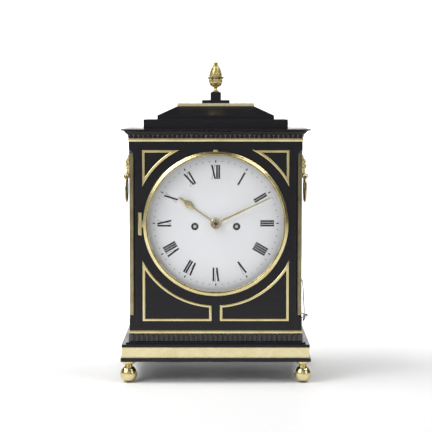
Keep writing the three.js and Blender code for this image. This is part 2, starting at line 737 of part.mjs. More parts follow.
function dial() {
  const steps = [1, 0.66, 0.33, 0];
  const faceY = (radius) => dialCrownY + DIAL_RISE * (radius / dialRadius) ** 2;
  const face = steps.map((share) => [dialRadius * share, faceY(dialRadius * share)]);
  const back = face.map(([r, y]) => [r, y + DIAL_THICKNESS]).reverse();
  const plate = turned([...back, ...face], 'y', LARGE_CIRCLE);
  const hole = (radius, x, z) => rod(radius, frontY, plateFrontY, 'y', SMALL_CIRCLE).translate(x, 0, z);
  const holes = [
    hole(WINDING_HOLE_RADIUS, -fuseeX, -WINDING_DROP),
    hole(WINDING_HOLE_RADIUS, fuseeX, -WINDING_DROP),
    hole(HOUR_PIPE_RADIUS + 2 * RUNNING_GAP, 0, 0),
  ];
  const feet = [[-1, DIAL_FOOT_UP], [1, DIAL_FOOT_UP], [-1, -DIAL_FOOT_DOWN], [1, -DIAL_FOOT_DOWN]]
    .map(([side, z]) => {
      const start = faceY(Math.hypot(DIAL_FOOT_SPREAD, z)) + DIAL_THICKNESS / 2;
      return rod(DIAL_FOOT_RADIUS, start, plateFrontY, 'y', PIVOT_SIDES)
        .translate(side * DIAL_FOOT_SPREAD, 0, z);
    });
  return cut(join(plate, ...feet), ...holes);
}

function handAround(shape, y, boreRadius, angle) {
  const blade = frontPlate(shape, y, y + HAND_THICKNESS);
  const collet = rod(COLLET_RADIUS, y - 0.25, y + HAND_THICKNESS, 'y', 16);
  const bore = rod(boreRadius, y - 2, y + HAND_THICKNESS + 2, 'y', SMALL_CIRCLE);
  return cut(join(blade, collet), bore).rotateY(THREE.MathUtils.degToRad(angle));
}

function minuteHand() {
  const half = MINUTE_HAND_WIDTH / 2;
  const shape = outline([
    [-half * 0.6, 0], [half * 0.6, 0], [half * 0.6, COLLET_RADIUS], [half, COLLET_RADIUS + 6],
    [half * 0.4, MINUTE_HAND_LENGTH - 3], [0, MINUTE_HAND_LENGTH],
    [-half * 0.4, MINUTE_HAND_LENGTH - 3], [-half, COLLET_RADIUS + 6], [-half * 0.6, COLLET_RADIUS],
  ]);
  return handAround(shape, minuteHandY, CANNON_PIPE_RADIUS + RUNNING_GAP, MINUTE_HAND_ANGLE);
}

function hourHand() {
  const half = HOUR_HAND_PEAR_WIDTH / 2;
  const center = HOUR_HAND_PEAR_RADIUS;
  const right = [
    [1.4, 0], [1.2, center - 8], [2.2, center - 6.5], [half * 0.85, center - 4], [half, center],
    [half * 0.8, center + 3.5], [half * 0.35, center + 8], [0.9, center + 11],
  ];
  const left = right.map(([x, z]) => [-x, z]).reverse();
  const shape = outline([...right, [0, HOUR_HAND_LENGTH], ...left]);
  return handAround(shape, hourHandY, HOUR_PIPE_RADIUS + RUNNING_GAP, HOUR_HAND_ANGLE);
}

// ---------------------------------------------------------------- side fittings
const ringRadius = (RING_DIAMETER - RING_WIRE) / 2;
const maskCenterZ = bodyTop - MASK_TOP_MARGIN - MASK_HEIGHT / 2;
const ringPivotZ = maskCenterZ - MASK_HEIGHT / 2 + 2.75;

// The mask is drawn on the right-hand side: +X stands out from the case.
function lionMask(side) {
  const locks = 12;
  const mane = Array.from({ length: 2 * locks }, (_, i) => {
    const angle = (Math.PI * i) / locks;
    const reach = i % 2 ? 0.84 : 1;
    const narrow = Math.sin(angle) < 0 ? 0.85 : 1;
    return [
      (MASK_WIDTH / 2) * reach * narrow * Math.cos(angle), (MASK_HEIGHT / 2) * reach * Math.sin(angle),
    ];
  });
  const plate = levelPlate(outline(mane), 0, MASK_THICKNESS);
  const lump = (x, y, z, rx, ry, rz) => new THREE.SphereGeometry(1, 10, 6)
    .scale(rx, ry, rz).translate(x, y, z);
  const features = [
    lump(0, 4, MASK_THICKNESS, 12, 13, 4.5),
    lump(-5.5, 9, MASK_THICKNESS + 3.25, 3.5, 2.5, 2),
    lump(5.5, 9, MASK_THICKNESS + 3.25, 3.5, 2.5, 2),
    lump(0, 1, MASK_THICKNESS + 3, 2.75, 8, 3.5),
  ];
  const inFront = block(-MASK_WIDTH, MASK_WIDTH, -MASK_HEIGHT, MASK_HEIGHT, 0, MASK_HEIGHT);
  const drawn = common(join(plate, ...features), inFront)
    .applyMatrix4(new THREE.Matrix4().makeBasis(
      new THREE.Vector3(0, 1, 0), new THREE.Vector3(0, 0, 1), new THREE.Vector3(1, 0, 0),
    ))
    .translate(halfWidth, 0, maskCenterZ);
  const pivotX = halfWidth + RING_OUT;
  const jaw = join(
    turned([
      [0, -MUZZLE_WIDTH / 2], [MUZZLE_RADIUS, -MUZZLE_WIDTH / 2], [MUZZLE_RADIUS, MUZZLE_WIDTH / 2],
      [0, MUZZLE_WIDTH / 2],
    ], 'y').translate(pivotX, 0, ringPivotZ + 0.25),
    block(halfWidth, pivotX, -MUZZLE_WIDTH / 2, MUZZLE_WIDTH / 2, ringPivotZ, ringPivotZ + 9),
  );
  const bore = rod(RING_WIRE / 2 + 2.5 * RUNNING_GAP, -MUZZLE_WIDTH, MUZZLE_WIDTH, 'y')
    .translate(pivotX, 0, ringPivotZ);
  const rightHand = cut(join(drawn, jaw), bore);
  return side > 0 ? rightHand : closed(rightHand.scale(-1, 1, 1));
}

function ringHandle(side) {
  return new THREE.TorusGeometry(ringRadius, RING_WIRE / 2, 6, 20)
    .rotateY(Math.PI / 2)
    .rotateX(Math.PI / 20)
    .translate(side * (halfWidth + RING_OUT), 0, ringPivotZ - ringRadius);
}

function soundFret(side) {
  const fretTop = bodyTop - FRET_BELOW_STRING;
  const shape = outline(rectangle(FRET_WIDTH / 2, FRET_HEIGHT / 2));
  const columns = 4;
  const rows = 5;
  const cell = [(FRET_WIDTH - 2 * FRET_LEDGE) / columns, (FRET_HEIGHT - 2 * FRET_LEDGE) / rows];
  for (let column = 0; column < columns; column += 1) {
    for (let row = 0; row < rows; row += 1) {
      const x = (column + 0.5 - columns / 2) * cell[0];
      const z = (row + 0.5 - rows / 2) * cell[1];
      const [a, b] = [cell[0] / 2 - 2, cell[1] / 2 - 1.5];
      const points = [[x - a, z], [x, z - b], [x + a, z], [x, z + b]];
      shape.holes.push(new THREE.Path(points.map(([u, v]) => new THREE.Vector2(u, v))));
    }
  }
  return levelPlate(shape, -FRET_THICKNESS, 0)
    .applyMatrix4(new THREE.Matrix4().makeBasis(
      new THREE.Vector3(0, side, 0), new THREE.Vector3(0, 0, 1), new THREE.Vector3(side, 0, 0),
    ))
    .translate(side * halfWidth, 0, fretTop - FRET_HEIGHT / 2);
}

const cordZ = bodyBottom + CORD_ABOVE_STRING;
const cordStartX = halfWidth + BUSH_LENGTH + RUNNING_GAP;

// The cord's route from its bush to the pull.
const CORD_ROUTE = [
  [0, 0, 0], [0.9, 0, -0.1], [1.8, 0, -0.6], [2.6, 0, -1.6], [3.1, 0, -3], [3.4, 0, -5],
  [3.65, 0, -8], [3.9, 0, -12], [4.2, 0, -17], [4.5, 0, -22], [4.8, 0, -27], [5.1, 0, -32],
  [5.35, 0, -37], [5.6, 0, -42], [5.8, 0, -46.5], [5.9, 0, -50.5],
];

function cordBush() {
  const bore = CORD_DIAMETER / 2 + RUNNING_GAP;
  return turned([
    [bore, -BUSH_SHANK_LENGTH], [BUSH_SHANK_RADIUS, -BUSH_SHANK_LENGTH], [BUSH_SHANK_RADIUS, 0],
    [BUSH_FLANGE_RADIUS, 0], [BUSH_FLANGE_RADIUS, 1], [BUSH_FLANGE_RADIUS * 0.7, BUSH_LENGTH],
    [bore, BUSH_LENGTH], [bore, -BUSH_SHANK_LENGTH],
  ], 'x').translate(halfWidth, 0, cordZ);
}

function pullCord() {
  const section = outline(circlePoints(CORD_DIAMETER / 2));
  const places = CORD_ROUTE.map(([x, y, z]) => [cordStartX + x, y, cordZ + z]);
  return extrudeAlong(section, places, 20);
}

// A turned bell-shaped pull that lies on its side, its hanging ring and the knotted cord end.
function cordPull() {
  const [endX, , endZ] = CORD_ROUTE[CORD_ROUTE.length - 1];
  const x = cordStartX + endX;
  const z = cordZ + endZ - RUNNING_GAP - PULL_BELL_RADIUS;
  const profile = [[0, 0], [0.7, 0], [1, 0.2], [1, 0.32], [0.7, 0.6], [0.35, 0.8], [0.12, 1], [0, 1]];
  const bell = turned(
    profile.map(([r, along]) => [PULL_BELL_RADIUS * r, PULL_BELL_LENGTH * along - 1.5]), 'x',
  );
  const ring = new THREE.TorusGeometry(PULL_RING_RADIUS - PULL_RING_WIRE / 2, PULL_RING_WIRE / 2, 6, 12)
    .rotateX(Math.PI / 2)
    .rotateZ(THREE.MathUtils.degToRad(PULL_RING_TURN))
    .translate(-PULL_RING_RADIUS * 0.7, 0, 0);
  const knot = rod(CORD_DIAMETER / 2, -PULL_BELL_RADIUS - 4, -PULL_BELL_RADIUS + 1.5, 'z', PIVOT_SIDES)
    .rotateY(Math.PI / 8);
  return join(bell, ring, knot).translate(x, 0, z);
}

// ---------------------------------------------------------------- back door
const doorHalfWidth = halfWidth - WALL - RUNNING_GAP;
const doorLow = bodyBottom + RUNNING_GAP;
const doorHigh = bodyTop - RUNNING_GAP;
const doorHingeX = -(halfWidth - WALL - 0.15);
const doorHingeY = halfDepth + HINGE_RADIUS + 0.25;
const doorInnerY = halfDepth - WALL;
const doorHinges = [doorLow + DOOR_HINGE_MARGIN, doorHigh - DOOR_HINGE_MARGIN - DOOR_HINGE_LENGTH];

function backDoor() {
  const x = doorHalfWidth;
  const open = x - DOOR_RAIL;
  const glazed = open + DOOR_GLASS_REBATE;
  const rebateY = doorInnerY + 6;
  const half = DOOR_HINGE_LENGTH / 2;
  const arms = doorHinges.flatMap((low) => [
    knuckle(low, low + half - RUNNING_GAP, doorHingeX, doorHingeY),
    block(
      doorHingeX, doorHingeX + 8, halfDepth - 1, doorHingeY - 0.5, low, low + half - RUNNING_GAP,
    ),
  ]);
  return cut(
    join(block(-x, x, doorInnerY, halfDepth, doorLow, doorHigh), ...arms),
    block(-open, open, doorInnerY - 1, halfDepth + 1, doorLow + DOOR_RAIL, doorHigh - DOOR_RAIL),
    block(
      -glazed, glazed, doorInnerY - 1, rebateY,
      doorLow + DOOR_RAIL - DOOR_GLASS_REBATE, doorHigh - DOOR_RAIL + DOOR_GLASS_REBATE,
    ),
    rod(pinBore, doorLow, doorHigh, 'z').translate(doorHingeX, doorHingeY, 0),
  );
}

function backDoorGlass() {
  const x = doorHalfWidth - DOOR_RAIL + DOOR_GLASS_REBATE - RUNNING_GAP;
  const y = doorInnerY + 6;
  return block(
    -x, x, y - DOOR_GLASS_THICKNESS, y,
    doorLow + DOOR_RAIL - DOOR_GLASS_REBATE + RUNNING_GAP,
    doorHigh - DOOR_RAIL + DOOR_GLASS_REBATE - RUNNING_GAP,
  );
}

function backDoorHinge() {
  const half = DOOR_HINGE_LENGTH / 2;
  const fixed = doorHinges.flatMap((low) => [
    knuckle(low + half, low + DOOR_HINGE_LENGTH, doorHingeX, doorHingeY),
    block(
      doorHingeX - DOOR_HINGE_LEAF, doorHingeX, halfDepth, halfDepth + HINGE_LEAF_THICKNESS,
      low + half, low + DOOR_HINGE_LENGTH,
    ),
  ]);
  const pin = rod(HINGE_PIN_RADIUS, doorHinges[0] - 1, doorHinges[1] + DOOR_HINGE_LENGTH, 'z', PIVOT_SIDES)
    .translate(doorHingeX, doorHingeY, 0);
  return join(pin, ...fixed);
}

function backDoorCatch() {
  const y = halfDepth + RUNNING_GAP;
  const half = CATCH_WIDTH / 2;
  return join(
    block(-half, half, y, y + CATCH_THICKNESS, -CATCH_LENGTH, half),
    rod(half * 0.8, y, y + CATCH_THICKNESS + 1, 'y'),
    rod(PIVOT_RADIUS, halfDepth - 6, y + 0.5, 'y', PIVOT_SIDES),
  ).translate(halfWidth - WALL / 2, 0, dialZ);
}

// ---------------------------------------------------------------- movement
function seatboard() {
  const x = halfWidth - WALL;
  return block(
    -x, x, frontY + WALL + SEATBOARD_FRONT_GAP, backPlateBackY + 4,
    seatboardTop - SEATBOARD_THICKNESS, seatboardTop,
  );
}

const pillarPlaces = [-1, 1].flatMap((side) => [
  [side * (PLATE_WIDTH / 2 - PILLAR_INSET), PLATE_ABOVE_CENTER - PILLAR_INSET],
  [side * (PLATE_WIDTH / 2 - PILLAR_INSET), -PLATE_BELOW_CENTER + PILLAR_INSET],
]);
const hammerX = -(BELL_RADIUS + HAMMER_OFFSET);
const bellMouthZ = PLATE_ABOVE_CENTER + BELL_ABOVE_PLATES;
const hammerZ = bellMouthZ + 4 - HAMMER_ARM;
const pivotHole = (PIVOT_RADIUS + PIVOT_PLAY) / Math.cos(Math.PI / PIVOT_SIDES) - 0.1;
const arborHole = FUSEE_ARBOR_RADIUS + PIVOT_PLAY;

function plateShape(holes) {
  const x = PLATE_WIDTH / 2;
  const shape = outline([
    [-x, -PLATE_BELOW_CENTER], [x, -PLATE_BELOW_CENTER], [x, PLATE_ABOVE_CENTER], [-x, PLATE_ABOVE_CENTER],
  ]);
  holes.forEach(([radius, x0, z0]) => {
    const points = circlePoints(radius, x0, z0).map(([a, b]) => new THREE.Vector2(a, b));
    shape.holes.push(new THREE.Path(points));
  });
  return shape;
}

const sharedHoles = [
  [arborHole, -fuseeX, -WINDING_DROP], [arborHole, fuseeX, -WINDING_DROP],
  [arborHole, -barrelX, -BARREL_DROP], [arborHole, barrelX, -BARREL_DROP],
  [CENTER_ARBOR_RADIUS + PIVOT_PLAY, 0, 0], [pivotHole, THIRD_OFFSET, thirdZ],
  [pivotHole, 0, escapeZ], [pivotHole, hammerX, hammerZ],
];

function movementFrontPlate() {
  const holes = [...sharedHoles, [pivotHole, 0, palletsZ], [pivotHole, 0, -CENTER_TO_MINUTE_WHEEL]];
  return frontPlate(plateShape(holes), plateFrontY, frontPlateBackY);
}

function movementBackPlate() {
  const holes = [...sharedHoles, [5, 0, palletsZ]];
  const pillars = pillarPlaces.map(([x, z]) => (
    rod(PILLAR_RADIUS, frontPlateBackY, backPlateFrontY + 1, 'y').translate(x, 0, z)
  ));
  return join(frontPlate(plateShape(holes), backPlateFrontY, backPlateBackY), ...pillars);
}

function greatWheelShape(side, bore) {
  const towardCenter = Math.atan2(WINDING_DROP, -side * fuseeX);
  const pitchRadius = pitchShare(fuseeToCenter, GREAT_WHEEL_TEETH, PINION_LEAVES);
  return toothed(GREAT_WHEEL_TEETH, pitchRadius, gapToward(towardCenter, GREAT_WHEEL_TEETH), bore);
}

function goingGreatWheel() {
  const shape = greatWheelShape(1, FUSEE_ARBOR_RADIUS + RUNNING_GAP);
  return frontPlate(shape, goingWheelY, goingWheelY + WHEEL_THICKNESS);
}

// A fusee's cone falls along a hollow curve from its large end to its small one; the arbor
// ends in front in the square that takes the winding key.
function fuseeCone(startY) {
  const steps = 5;
  return Array.from({ length: steps + 1 }, (_, i) => {
    const along = i / steps;
    const radius = FUSEE_LARGE_RADIUS + (FUSEE_SMALL_RADIUS - FUSEE_LARGE_RADIUS) * along ** 0.75;
    return [radius, startY + (coneEndY - startY) * along];
  });
}

function fusee(startY) {
  const squareEnd = dialCrownY + 0.75;
  const squareStart = dialRimY + 8;
  const half = WINDING_SQUARE / 2;
  return join(
    turned([
      [0, squareStart - 1], [FUSEE_ARBOR_RADIUS, squareStart - 1], [FUSEE_ARBOR_RADIUS, startY],
      ...fuseeCone(startY), [FUSEE_ARBOR_RADIUS, coneEndY],
      [FUSEE_ARBOR_RADIUS, backPlateBackY], [0, backPlateBackY],
    ], 'y', 16),
    block(-half, half, squareEnd, squareStart, -half, half),
  );
}

function strikeFusee() {
  const wheel = frontPlate(greatWheelShape(-1), strikeWheelY, strikeWheelY + WHEEL_THICKNESS);
  return join(fusee(strikeWheelY + WHEEL_THICKNESS), wheel);
}

function barrel() {
  const front = coneStartY + 3;
  const back = coneEndY + 4;
  return turned([
    [0, plateFrontY - 0.5], [FUSEE_ARBOR_RADIUS, plateFrontY - 0.5], [FUSEE_ARBOR_RADIUS, front],
    [BARREL_RADIUS, front], [BARREL_RADIUS, back], [FUSEE_ARBOR_RADIUS, back],
    [FUSEE_ARBOR_RADIUS, backPlateBackY], [0, backPlateBackY],
  ], 'y', 20);
}

function wheelOn(shape, y, thickness) {
  return frontPlate(shape, y, y + thickness);
}

function centerWheel() {
  const toFusee = Math.atan2(-WINDING_DROP, fuseeX);
  const toThird = Math.atan2(thirdZ, THIRD_OFFSET);
  const pinionRadius = pitchShare(fuseeToCenter, PINION_LEAVES, GREAT_WHEEL_TEETH);
  const wheelRadius = pitchShare(CENTER_TO_THIRD, CENTER_WHEEL_TEETH, PINION_LEAVES);
  return join(
    rod(CENTER_ARBOR_RADIUS, minuteHandY - 1.5, backPlateBackY, 'y', PIVOT_SIDES),
    wheelOn(
      toothed(PINION_LEAVES, pinionRadius, tipToward(toFusee)), goingWheelY - 0.5, PINION_LENGTH,
    ),
    wheelOn(
      toothed(CENTER_WHEEL_TEETH, wheelRadius, gapToward(toThird, CENTER_WHEEL_TEETH)),
      centerWheelY, WHEEL_THICKNESS,
    ),
  );
}

function thirdWheel() {
  const toCenter = Math.atan2(-thirdZ, -THIRD_OFFSET);
  const toEscape = Math.atan2(escapeZ - thirdZ, -THIRD_OFFSET);
  const pinionRadius = pitchShare(CENTER_TO_THIRD, PINION_LEAVES, CENTER_WHEEL_TEETH);
  const wheelRadius = pitchShare(THIRD_TO_ESCAPE, THIRD_WHEEL_TEETH, PINION_LEAVES);
  return join(
    arbor(ARBOR_RADIUS),
    wheelOn(
      toothed(PINION_LEAVES, pinionRadius, tipToward(toCenter)), centerWheelY - 0.5, PINION_LENGTH,
    ),
    wheelOn(
      toothed(THIRD_WHEEL_TEETH, wheelRadius, gapToward(toEscape, THIRD_WHEEL_TEETH)),
      thirdWheelY, WHEEL_THICKNESS,
    ),
  );
}

function escapeWheel() {
  const toThird = Math.atan2(thirdZ - escapeZ, THIRD_OFFSET);
  const pinionRadius = pitchShare(THIRD_TO_ESCAPE, PINION_LEAVES, THIRD_WHEEL_TEETH);
  const rim = Array.from({ length: ESCAPE_WHEEL_TEETH }, (_, i) => {
    const angle = (2 * Math.PI * i) / ESCAPE_WHEEL_TEETH;
    const lean = angle + (0.7 * Math.PI) / ESCAPE_WHEEL_TEETH;
    const root = ESCAPE_WHEEL_RADIUS * 0.82;
    return [
      [root * Math.cos(angle), root * Math.sin(angle)],
      [ESCAPE_WHEEL_RADIUS * Math.cos(lean), ESCAPE_WHEEL_RADIUS * Math.sin(lean)],
    ];
  }).flat();
  return join(
    arbor(ARBOR_RADIUS),
    wheelOn(
      toothed(PINION_LEAVES, pinionRadius, tipToward(toThird)), thirdWheelY - 0.5, PINION_LENGTH,
    ),
    wheelOn(outline(rim), escapeWheelY, WHEEL_THICKNESS),
  );
}

// The anchor stands clear above the escape wheel; the crutch reaches the pendulum behind.
function pallets() {
  const unit = ESCAPE_WHEEL_RADIUS / 14;
  const right = [[15.5, 12], [12.5, 18.5], [5, 23]];
  const under = [[4, 17.5], [9.5, 15.5], [11.4, 11.4]];
  const mirrored = (points) => points.map(([x, z]) => [-x, z]).reverse();
  const points = [...right, ...mirrored(right), ...mirrored(under), ...under];
  const anchor = outline(points.map(([x, z]) => [x * unit, z * unit - PALLETS_ABOVE_ESCAPE]));
  const forkHalf = PENDULUM_ROD_RADIUS + 3;
  const slotHalf = PENDULUM_ROD_RADIUS + 0.4;
  const crutchY = backPlateBackY + 4;
  const forkEnd = pendulumY + 2;
  const shaft = turned([
    [0, plateFrontY], [PIVOT_RADIUS, plateFrontY], [PIVOT_RADIUS, frontPlateBackY + END_SHAKE],
    [ARBOR_RADIUS, frontPlateBackY + END_SHAKE], [ARBOR_RADIUS, cockBarY - END_SHAKE],
    [PIVOT_RADIUS, cockBarY - END_SHAKE], [PIVOT_RADIUS, cockBarY + 2.5], [0, cockBarY + 2.5],
  ], 'y', PIVOT_SIDES);
  const arm = block(-1.5, 1.5, crutchY, crutchY + 2, -CRUTCH_LENGTH, 2);
  const fork = cut(
    block(-forkHalf, forkHalf, crutchY, forkEnd, -CRUTCH_LENGTH - 2, -CRUTCH_LENGTH + 2),
    block(-slotHalf, slotHalf, pendulumY - 4, forkEnd + 1, -CRUTCH_LENGTH - 3, -CRUTCH_LENGTH + 3),
  );
  return join(shaft, wheelOn(anchor, escapeWheelY, WHEEL_THICKNESS), arm, fork);
}

const cockBarY = backPlateBackY + 12;

// The back cock carries the pallet arbor's rear pivot and the pendulum's suspension.
function pendulumCock() {
  const barEnd = cockBarY + 3;
  const cheekEnd = pendulumY + 4;
  const legs = [-1, 1].map((side) => block(
    Math.min(side * 12, side * 18), Math.max(side * 12, side * 18), backPlateBackY, cockBarY + 1, -4, 5,
  ));
  return cut(
    join(
      ...legs,
      block(-18, 18, cockBarY, barEnd, -4, 5),
      block(-6, 6, barEnd - 0.5, cheekEnd, -3, 7),
    ),
    rod(PIVOT_RADIUS + PIVOT_PLAY, cockBarY - 1, barEnd + 0.25, 'y', PIVOT_SIDES),
    block(-4.25, 4.25, pendulumY - 1, pendulumY + 1, -4, 8),
    rod(ARBOR_RADIUS + PIVOT_PLAY, pendulumY - 3, cheekEnd + 1, 'y', PIVOT_SIDES),
  );
}

function pendulum() {
  const toRodEnd = dialZ + palletsZ - plinthTop - PENDULUM_CLEARANCE;
  const toBob = toRodEnd - PENDULUM_ROD_END - BOB_RADIUS;
  const nutTop = toBob + BOB_RADIUS + 1.5;
  const half = BOB_THICKNESS / 2;
  const lens = [[0, -half], [0.5, -half * 0.8], [0.85, -half * 0.45], [1, 0], [0.85, half * 0.45],
    [0.5, half * 0.8], [0, half]].map(([share, y]) => [BOB_RADIUS * share, y]);
  return join(
    rod(ARBOR_RADIUS, -2.5, 2.5, 'y', PIVOT_SIDES),
    block(-3, 3, -0.5, 0.5, -SUSPENSION_LENGTH, 0),
    rod(PENDULUM_ROD_RADIUS, -toRodEnd, -SUSPENSION_LENGTH + 1, 'z', PIVOT_SIDES),
    turned(lens, 'y', 20).translate(0, 0, -toBob),
    rod(RATING_NUT_RADIUS, -nutTop - RATING_NUT_HEIGHT, -nutTop, 'z', PIVOT_SIDES),
  ).translate(0, pendulumY, 0);
}

function cannonWheel() {
  const pitchRadius = CENTER_TO_MINUTE_WHEEL / 2;
  const bore = CANNON_PIPE_RADIUS - PIPE_WALL;
  const shape = toothed(MOTION_WHEEL_TEETH, pitchRadius, -Math.PI / 2, bore);
  const body = pipe(CANNON_PIPE_RADIUS, bore, minuteHandY - 0.75, cannonWheelY + WHEEL_THICKNESS);
  return join(body, wheelOn(shape, cannonWheelY, WHEEL_THICKNESS));
}

function minuteWheel() {
  const up = Math.PI / 2;
  const pitchRadius = CENTER_TO_MINUTE_WHEEL / 2;
  const pinionRadius = pitchShare(CENTER_TO_MINUTE_WHEEL, PINION_LEAVES, HOUR_WHEEL_TEETH);
  return join(
    turned([
      [0, hourWheelY - 1], [ARBOR_RADIUS, hourWheelY - 1], [ARBOR_RADIUS, plateFrontY - RUNNING_GAP],
      [PIVOT_RADIUS, plateFrontY - RUNNING_GAP], [PIVOT_RADIUS, frontPlateBackY], [0, frontPlateBackY],
    ], 'y', PIVOT_SIDES),
    wheelOn(
      toothed(MOTION_WHEEL_TEETH, pitchRadius, gapToward(up, MOTION_WHEEL_TEETH)),
      cannonWheelY, WHEEL_THICKNESS,
    ),
    wheelOn(
      toothed(PINION_LEAVES, pinionRadius, tipToward(up)), hourWheelY - 0.5,
      cannonWheelY - hourWheelY + 1,
    ),
  );
}

function hourWheel() {
  const down = -Math.PI / 2;
  const bore = HOUR_PIPE_RADIUS - PIPE_WALL;
  const pitchRadius = pitchShare(CENTER_TO_MINUTE_WHEEL, HOUR_WHEEL_TEETH, PINION_LEAVES);
  const shape = toothed(HOUR_WHEEL_TEETH, pitchRadius, gapToward(down, HOUR_WHEEL_TEETH), bore);
  const body = pipe(HOUR_PIPE_RADIUS, bore, hourHandY - 0.75, hourWheelY + WHEEL_THICKNESS);
  return join(body, wheelOn(shape, hourWheelY, WHEEL_THICKNESS));
}

const bellY = (frontPlateBackY + backPlateFrontY) / 2;

function bell() {
  const shell = [[0, 1], [0.35, 0.96], [0.68, 0.8], [0.88, 0.5], [0.95, 0.2], [1, 0]];
  const top = bellMouthZ + BELL_HEIGHT;
  const outer = shell.map(([r, z]) => [BELL_RADIUS * r, bellMouthZ + BELL_HEIGHT * z]);
  const inner = shell.map(([r, z]) => [
    Math.max(BELL_RADIUS * r - BELL_WALL, 0), bellMouthZ + (BELL_HEIGHT - BELL_WALL) * z,
  ]);
  const armTop = bellMouthZ - 3;
  const armBottom = armTop - 3;
  const footX = 24;
  return join(
    turned([...inner, ...[...outer].reverse()], 'z', 20).translate(0, bellY, 0),
    rod(3, armTop - 1, top - BELL_WALL / 2, 'z', PIVOT_SIDES).translate(0, bellY, 0),
    block(-4, footX + 8, bellY - 4, bellY + 4, armBottom, armTop),
    block(footX, footX + 8, bellY, backPlateBackY + 2.5, armBottom, armTop),
    block(footX, footX + 8, backPlateBackY, backPlateBackY + 2.5, PLATE_ABOVE_CENTER - 18, armTop),
  );
}

function bellHammer() {
  return join(
    arbor(ARBOR_RADIUS),
    block(
      -HAMMER_ARM_THICKNESS / 2, HAMMER_ARM_THICKNESS / 2, bellY - HAMMER_ARM_WIDTH / 2,
      bellY + HAMMER_ARM_WIDTH / 2, 0, HAMMER_ARM,
    ),
    rod(HAMMER_HEAD_RADIUS, -HAMMER_HEAD_LENGTH / 2, HAMMER_HEAD_LENGTH / 2, 'x')
      .translate(0, bellY, HAMMER_ARM),
  );
}

// ---------------------------------------------------------------- assembly
const BRASS = [0xd8c88e, 0.28, 1];
const OLD_BRASS = [0xb89f5c, 0.4, 1];
const EBONISED = [0x1c1b20, 0.25, 0];
const INNER_WOOD = [0x6b4a30, 0.6, 0];
const ENAMEL = [0xecece8, 0.15, 0];
const GLASS = [0xf4f8f8, 0.03, 0];
const STEEL = [0x8d9096, 0.35, 1];
const CORD = [0x3a3a40, 0.8, 0];

function place(parent, name, geometry, [color, roughness, metalness], x = 0, y = 0, z = 0) {
  const material = new THREE.MeshStandardMaterial({ color, roughness, metalness, flatShading: true });
  const mesh = new THREE.Mesh(closed(geometry), material);
  mesh.name = name;
  mesh.position.set(x, y, z);
  parent.add(mesh);
}

const clock = new THREE.Group();
const front = new THREE.Group();
front.position.z = dialZ;
const movement = new THREE.Group();
movement.position.z = dialZ;
clock.add(front, movement);

const footX = halfWidth + LOWER_FILLET_OUT - FOOT_INSET;
const footY = halfDepth + LOWER_FILLET_OUT - FOOT_INSET;
[['front', -1], ['back', 1]].forEach(([depthName, depth]) => {
  [['left', -1], ['right', 1]].forEach(([sideName, side]) => {
    place(clock, `foot_${depthName}_${sideName}`, foot(), BRASS, side * footX, depth * footY);
  });
});

place(clock, 'plinth', plinth(), EBONISED);
place(clock, 'plinth_brass_band',
  levelPlate(surround(BAND_OUT, BAND_OUT - BAND_THICKNESS), bandBottom, bandTop), BRASS);
place(clock, 'reeded_moulding',
  levelPlate(flutedSurround(REED_OUT, -MOULDING_REBATE, REED_DEPTH), plinthTop, reedTop), EBONISED);
const brassString = surround(STRING_OUT, -MOULDING_REBATE);
place(clock, 'lower_brass_string', levelPlate(brassString, reedTop, bodyBottom), BRASS);
place(clock, 'upper_brass_string', levelPlate(brassString, bodyTop, arcadeBottom), BRASS);
place(clock, 'front_panel', frontPanel(), EBONISED);
place(clock, 'cornice', cornice(), EBONISED);
place(clock, 'roof', roof(), EBONISED);
place(clock, 'roof_brass_moulding',
  levelPlate(surround(-slopeInset, -slopeInset - ROOF_BRASS_WIDTH), slopeTop, platformTop), BRASS);
place(clock, 'pineapple_finial', pineapple(), BRASS, 0, 0, finialBottom);

[['left', -1], ['right', 1]].forEach(([sideName, side]) => {
  place(clock, `${sideName}_side_panel`, sidePanel(side), EBONISED);
  place(clock, `${sideName}_corner_strip`, cornerStrip(side), BRASS);
  place(clock, `${sideName}_lion_mask`, lionMask(side), BRASS);
  place(clock, `${sideName}_ring_handle`, ringHandle(side), BRASS);
  place(clock, `${sideName}_sound_fret`, soundFret(side), BRASS);
  place(front, `upper_${sideName}_frame`, spandrelFrame(side, true), BRASS);
  place(front, `lower_${sideName}_frame`, spandrelFrame(side, false), BRASS);
});

place(front, 'bezel', bezel(), BRASS);
place(front, 'bezel_glass', bezelGlass(), GLASS);
place(front, 'bezel_hinge', bezelHinge(), BRASS);
place(front, 'dial', dial(), ENAMEL);
place(front, 'hour_hand', hourHand(), BRASS);
place(front, 'minute_hand', minuteHand(), BRASS);

place(clock, 'cord_bush', cordBush(), BRASS);
place(clock, 'pull_cord', pullCord(), CORD);
place(clock, 'cord_pull', cordPull(), STEEL);
place(clock, 'back_door', backDoor(), EBONISED);
place(clock, 'back_door_glass', backDoorGlass(), GLASS);
place(clock, 'back_door_hinge', backDoorHinge(), BRASS);
place(clock, 'back_door_catch', backDoorCatch(), BRASS);

place(clock, 'seatboard', seatboard(), INNER_WOOD);
place(movement, 'movement_front_plate', movementFrontPlate(), OLD_BRASS);
place(movement, 'movement_back_plate', movementBackPlate(), OLD_BRASS);
place(movement, 'going_great_wheel', goingGreatWheel(), OLD_BRASS, fuseeX, 0, -WINDING_DROP);
place(movement, 'going_fusee', fusee(goingWheelY + WHEEL_THICKNESS + RUNNING_GAP), OLD_BRASS,
  fuseeX, 0, -WINDING_DROP);
place(movement, 'strike_fusee', strikeFusee(), OLD_BRASS, -fuseeX, 0, -WINDING_DROP);
place(movement, 'going_barrel', barrel(), OLD_BRASS, barrelX, 0, -BARREL_DROP);
place(movement, 'strike_barrel', barrel(), OLD_BRASS, -barrelX, 0, -BARREL_DROP);
place(movement, 'center_wheel', centerWheel(), OLD_BRASS);
place(movement, 'third_wheel', thirdWheel(), OLD_BRASS, THIRD_OFFSET, 0, thirdZ);
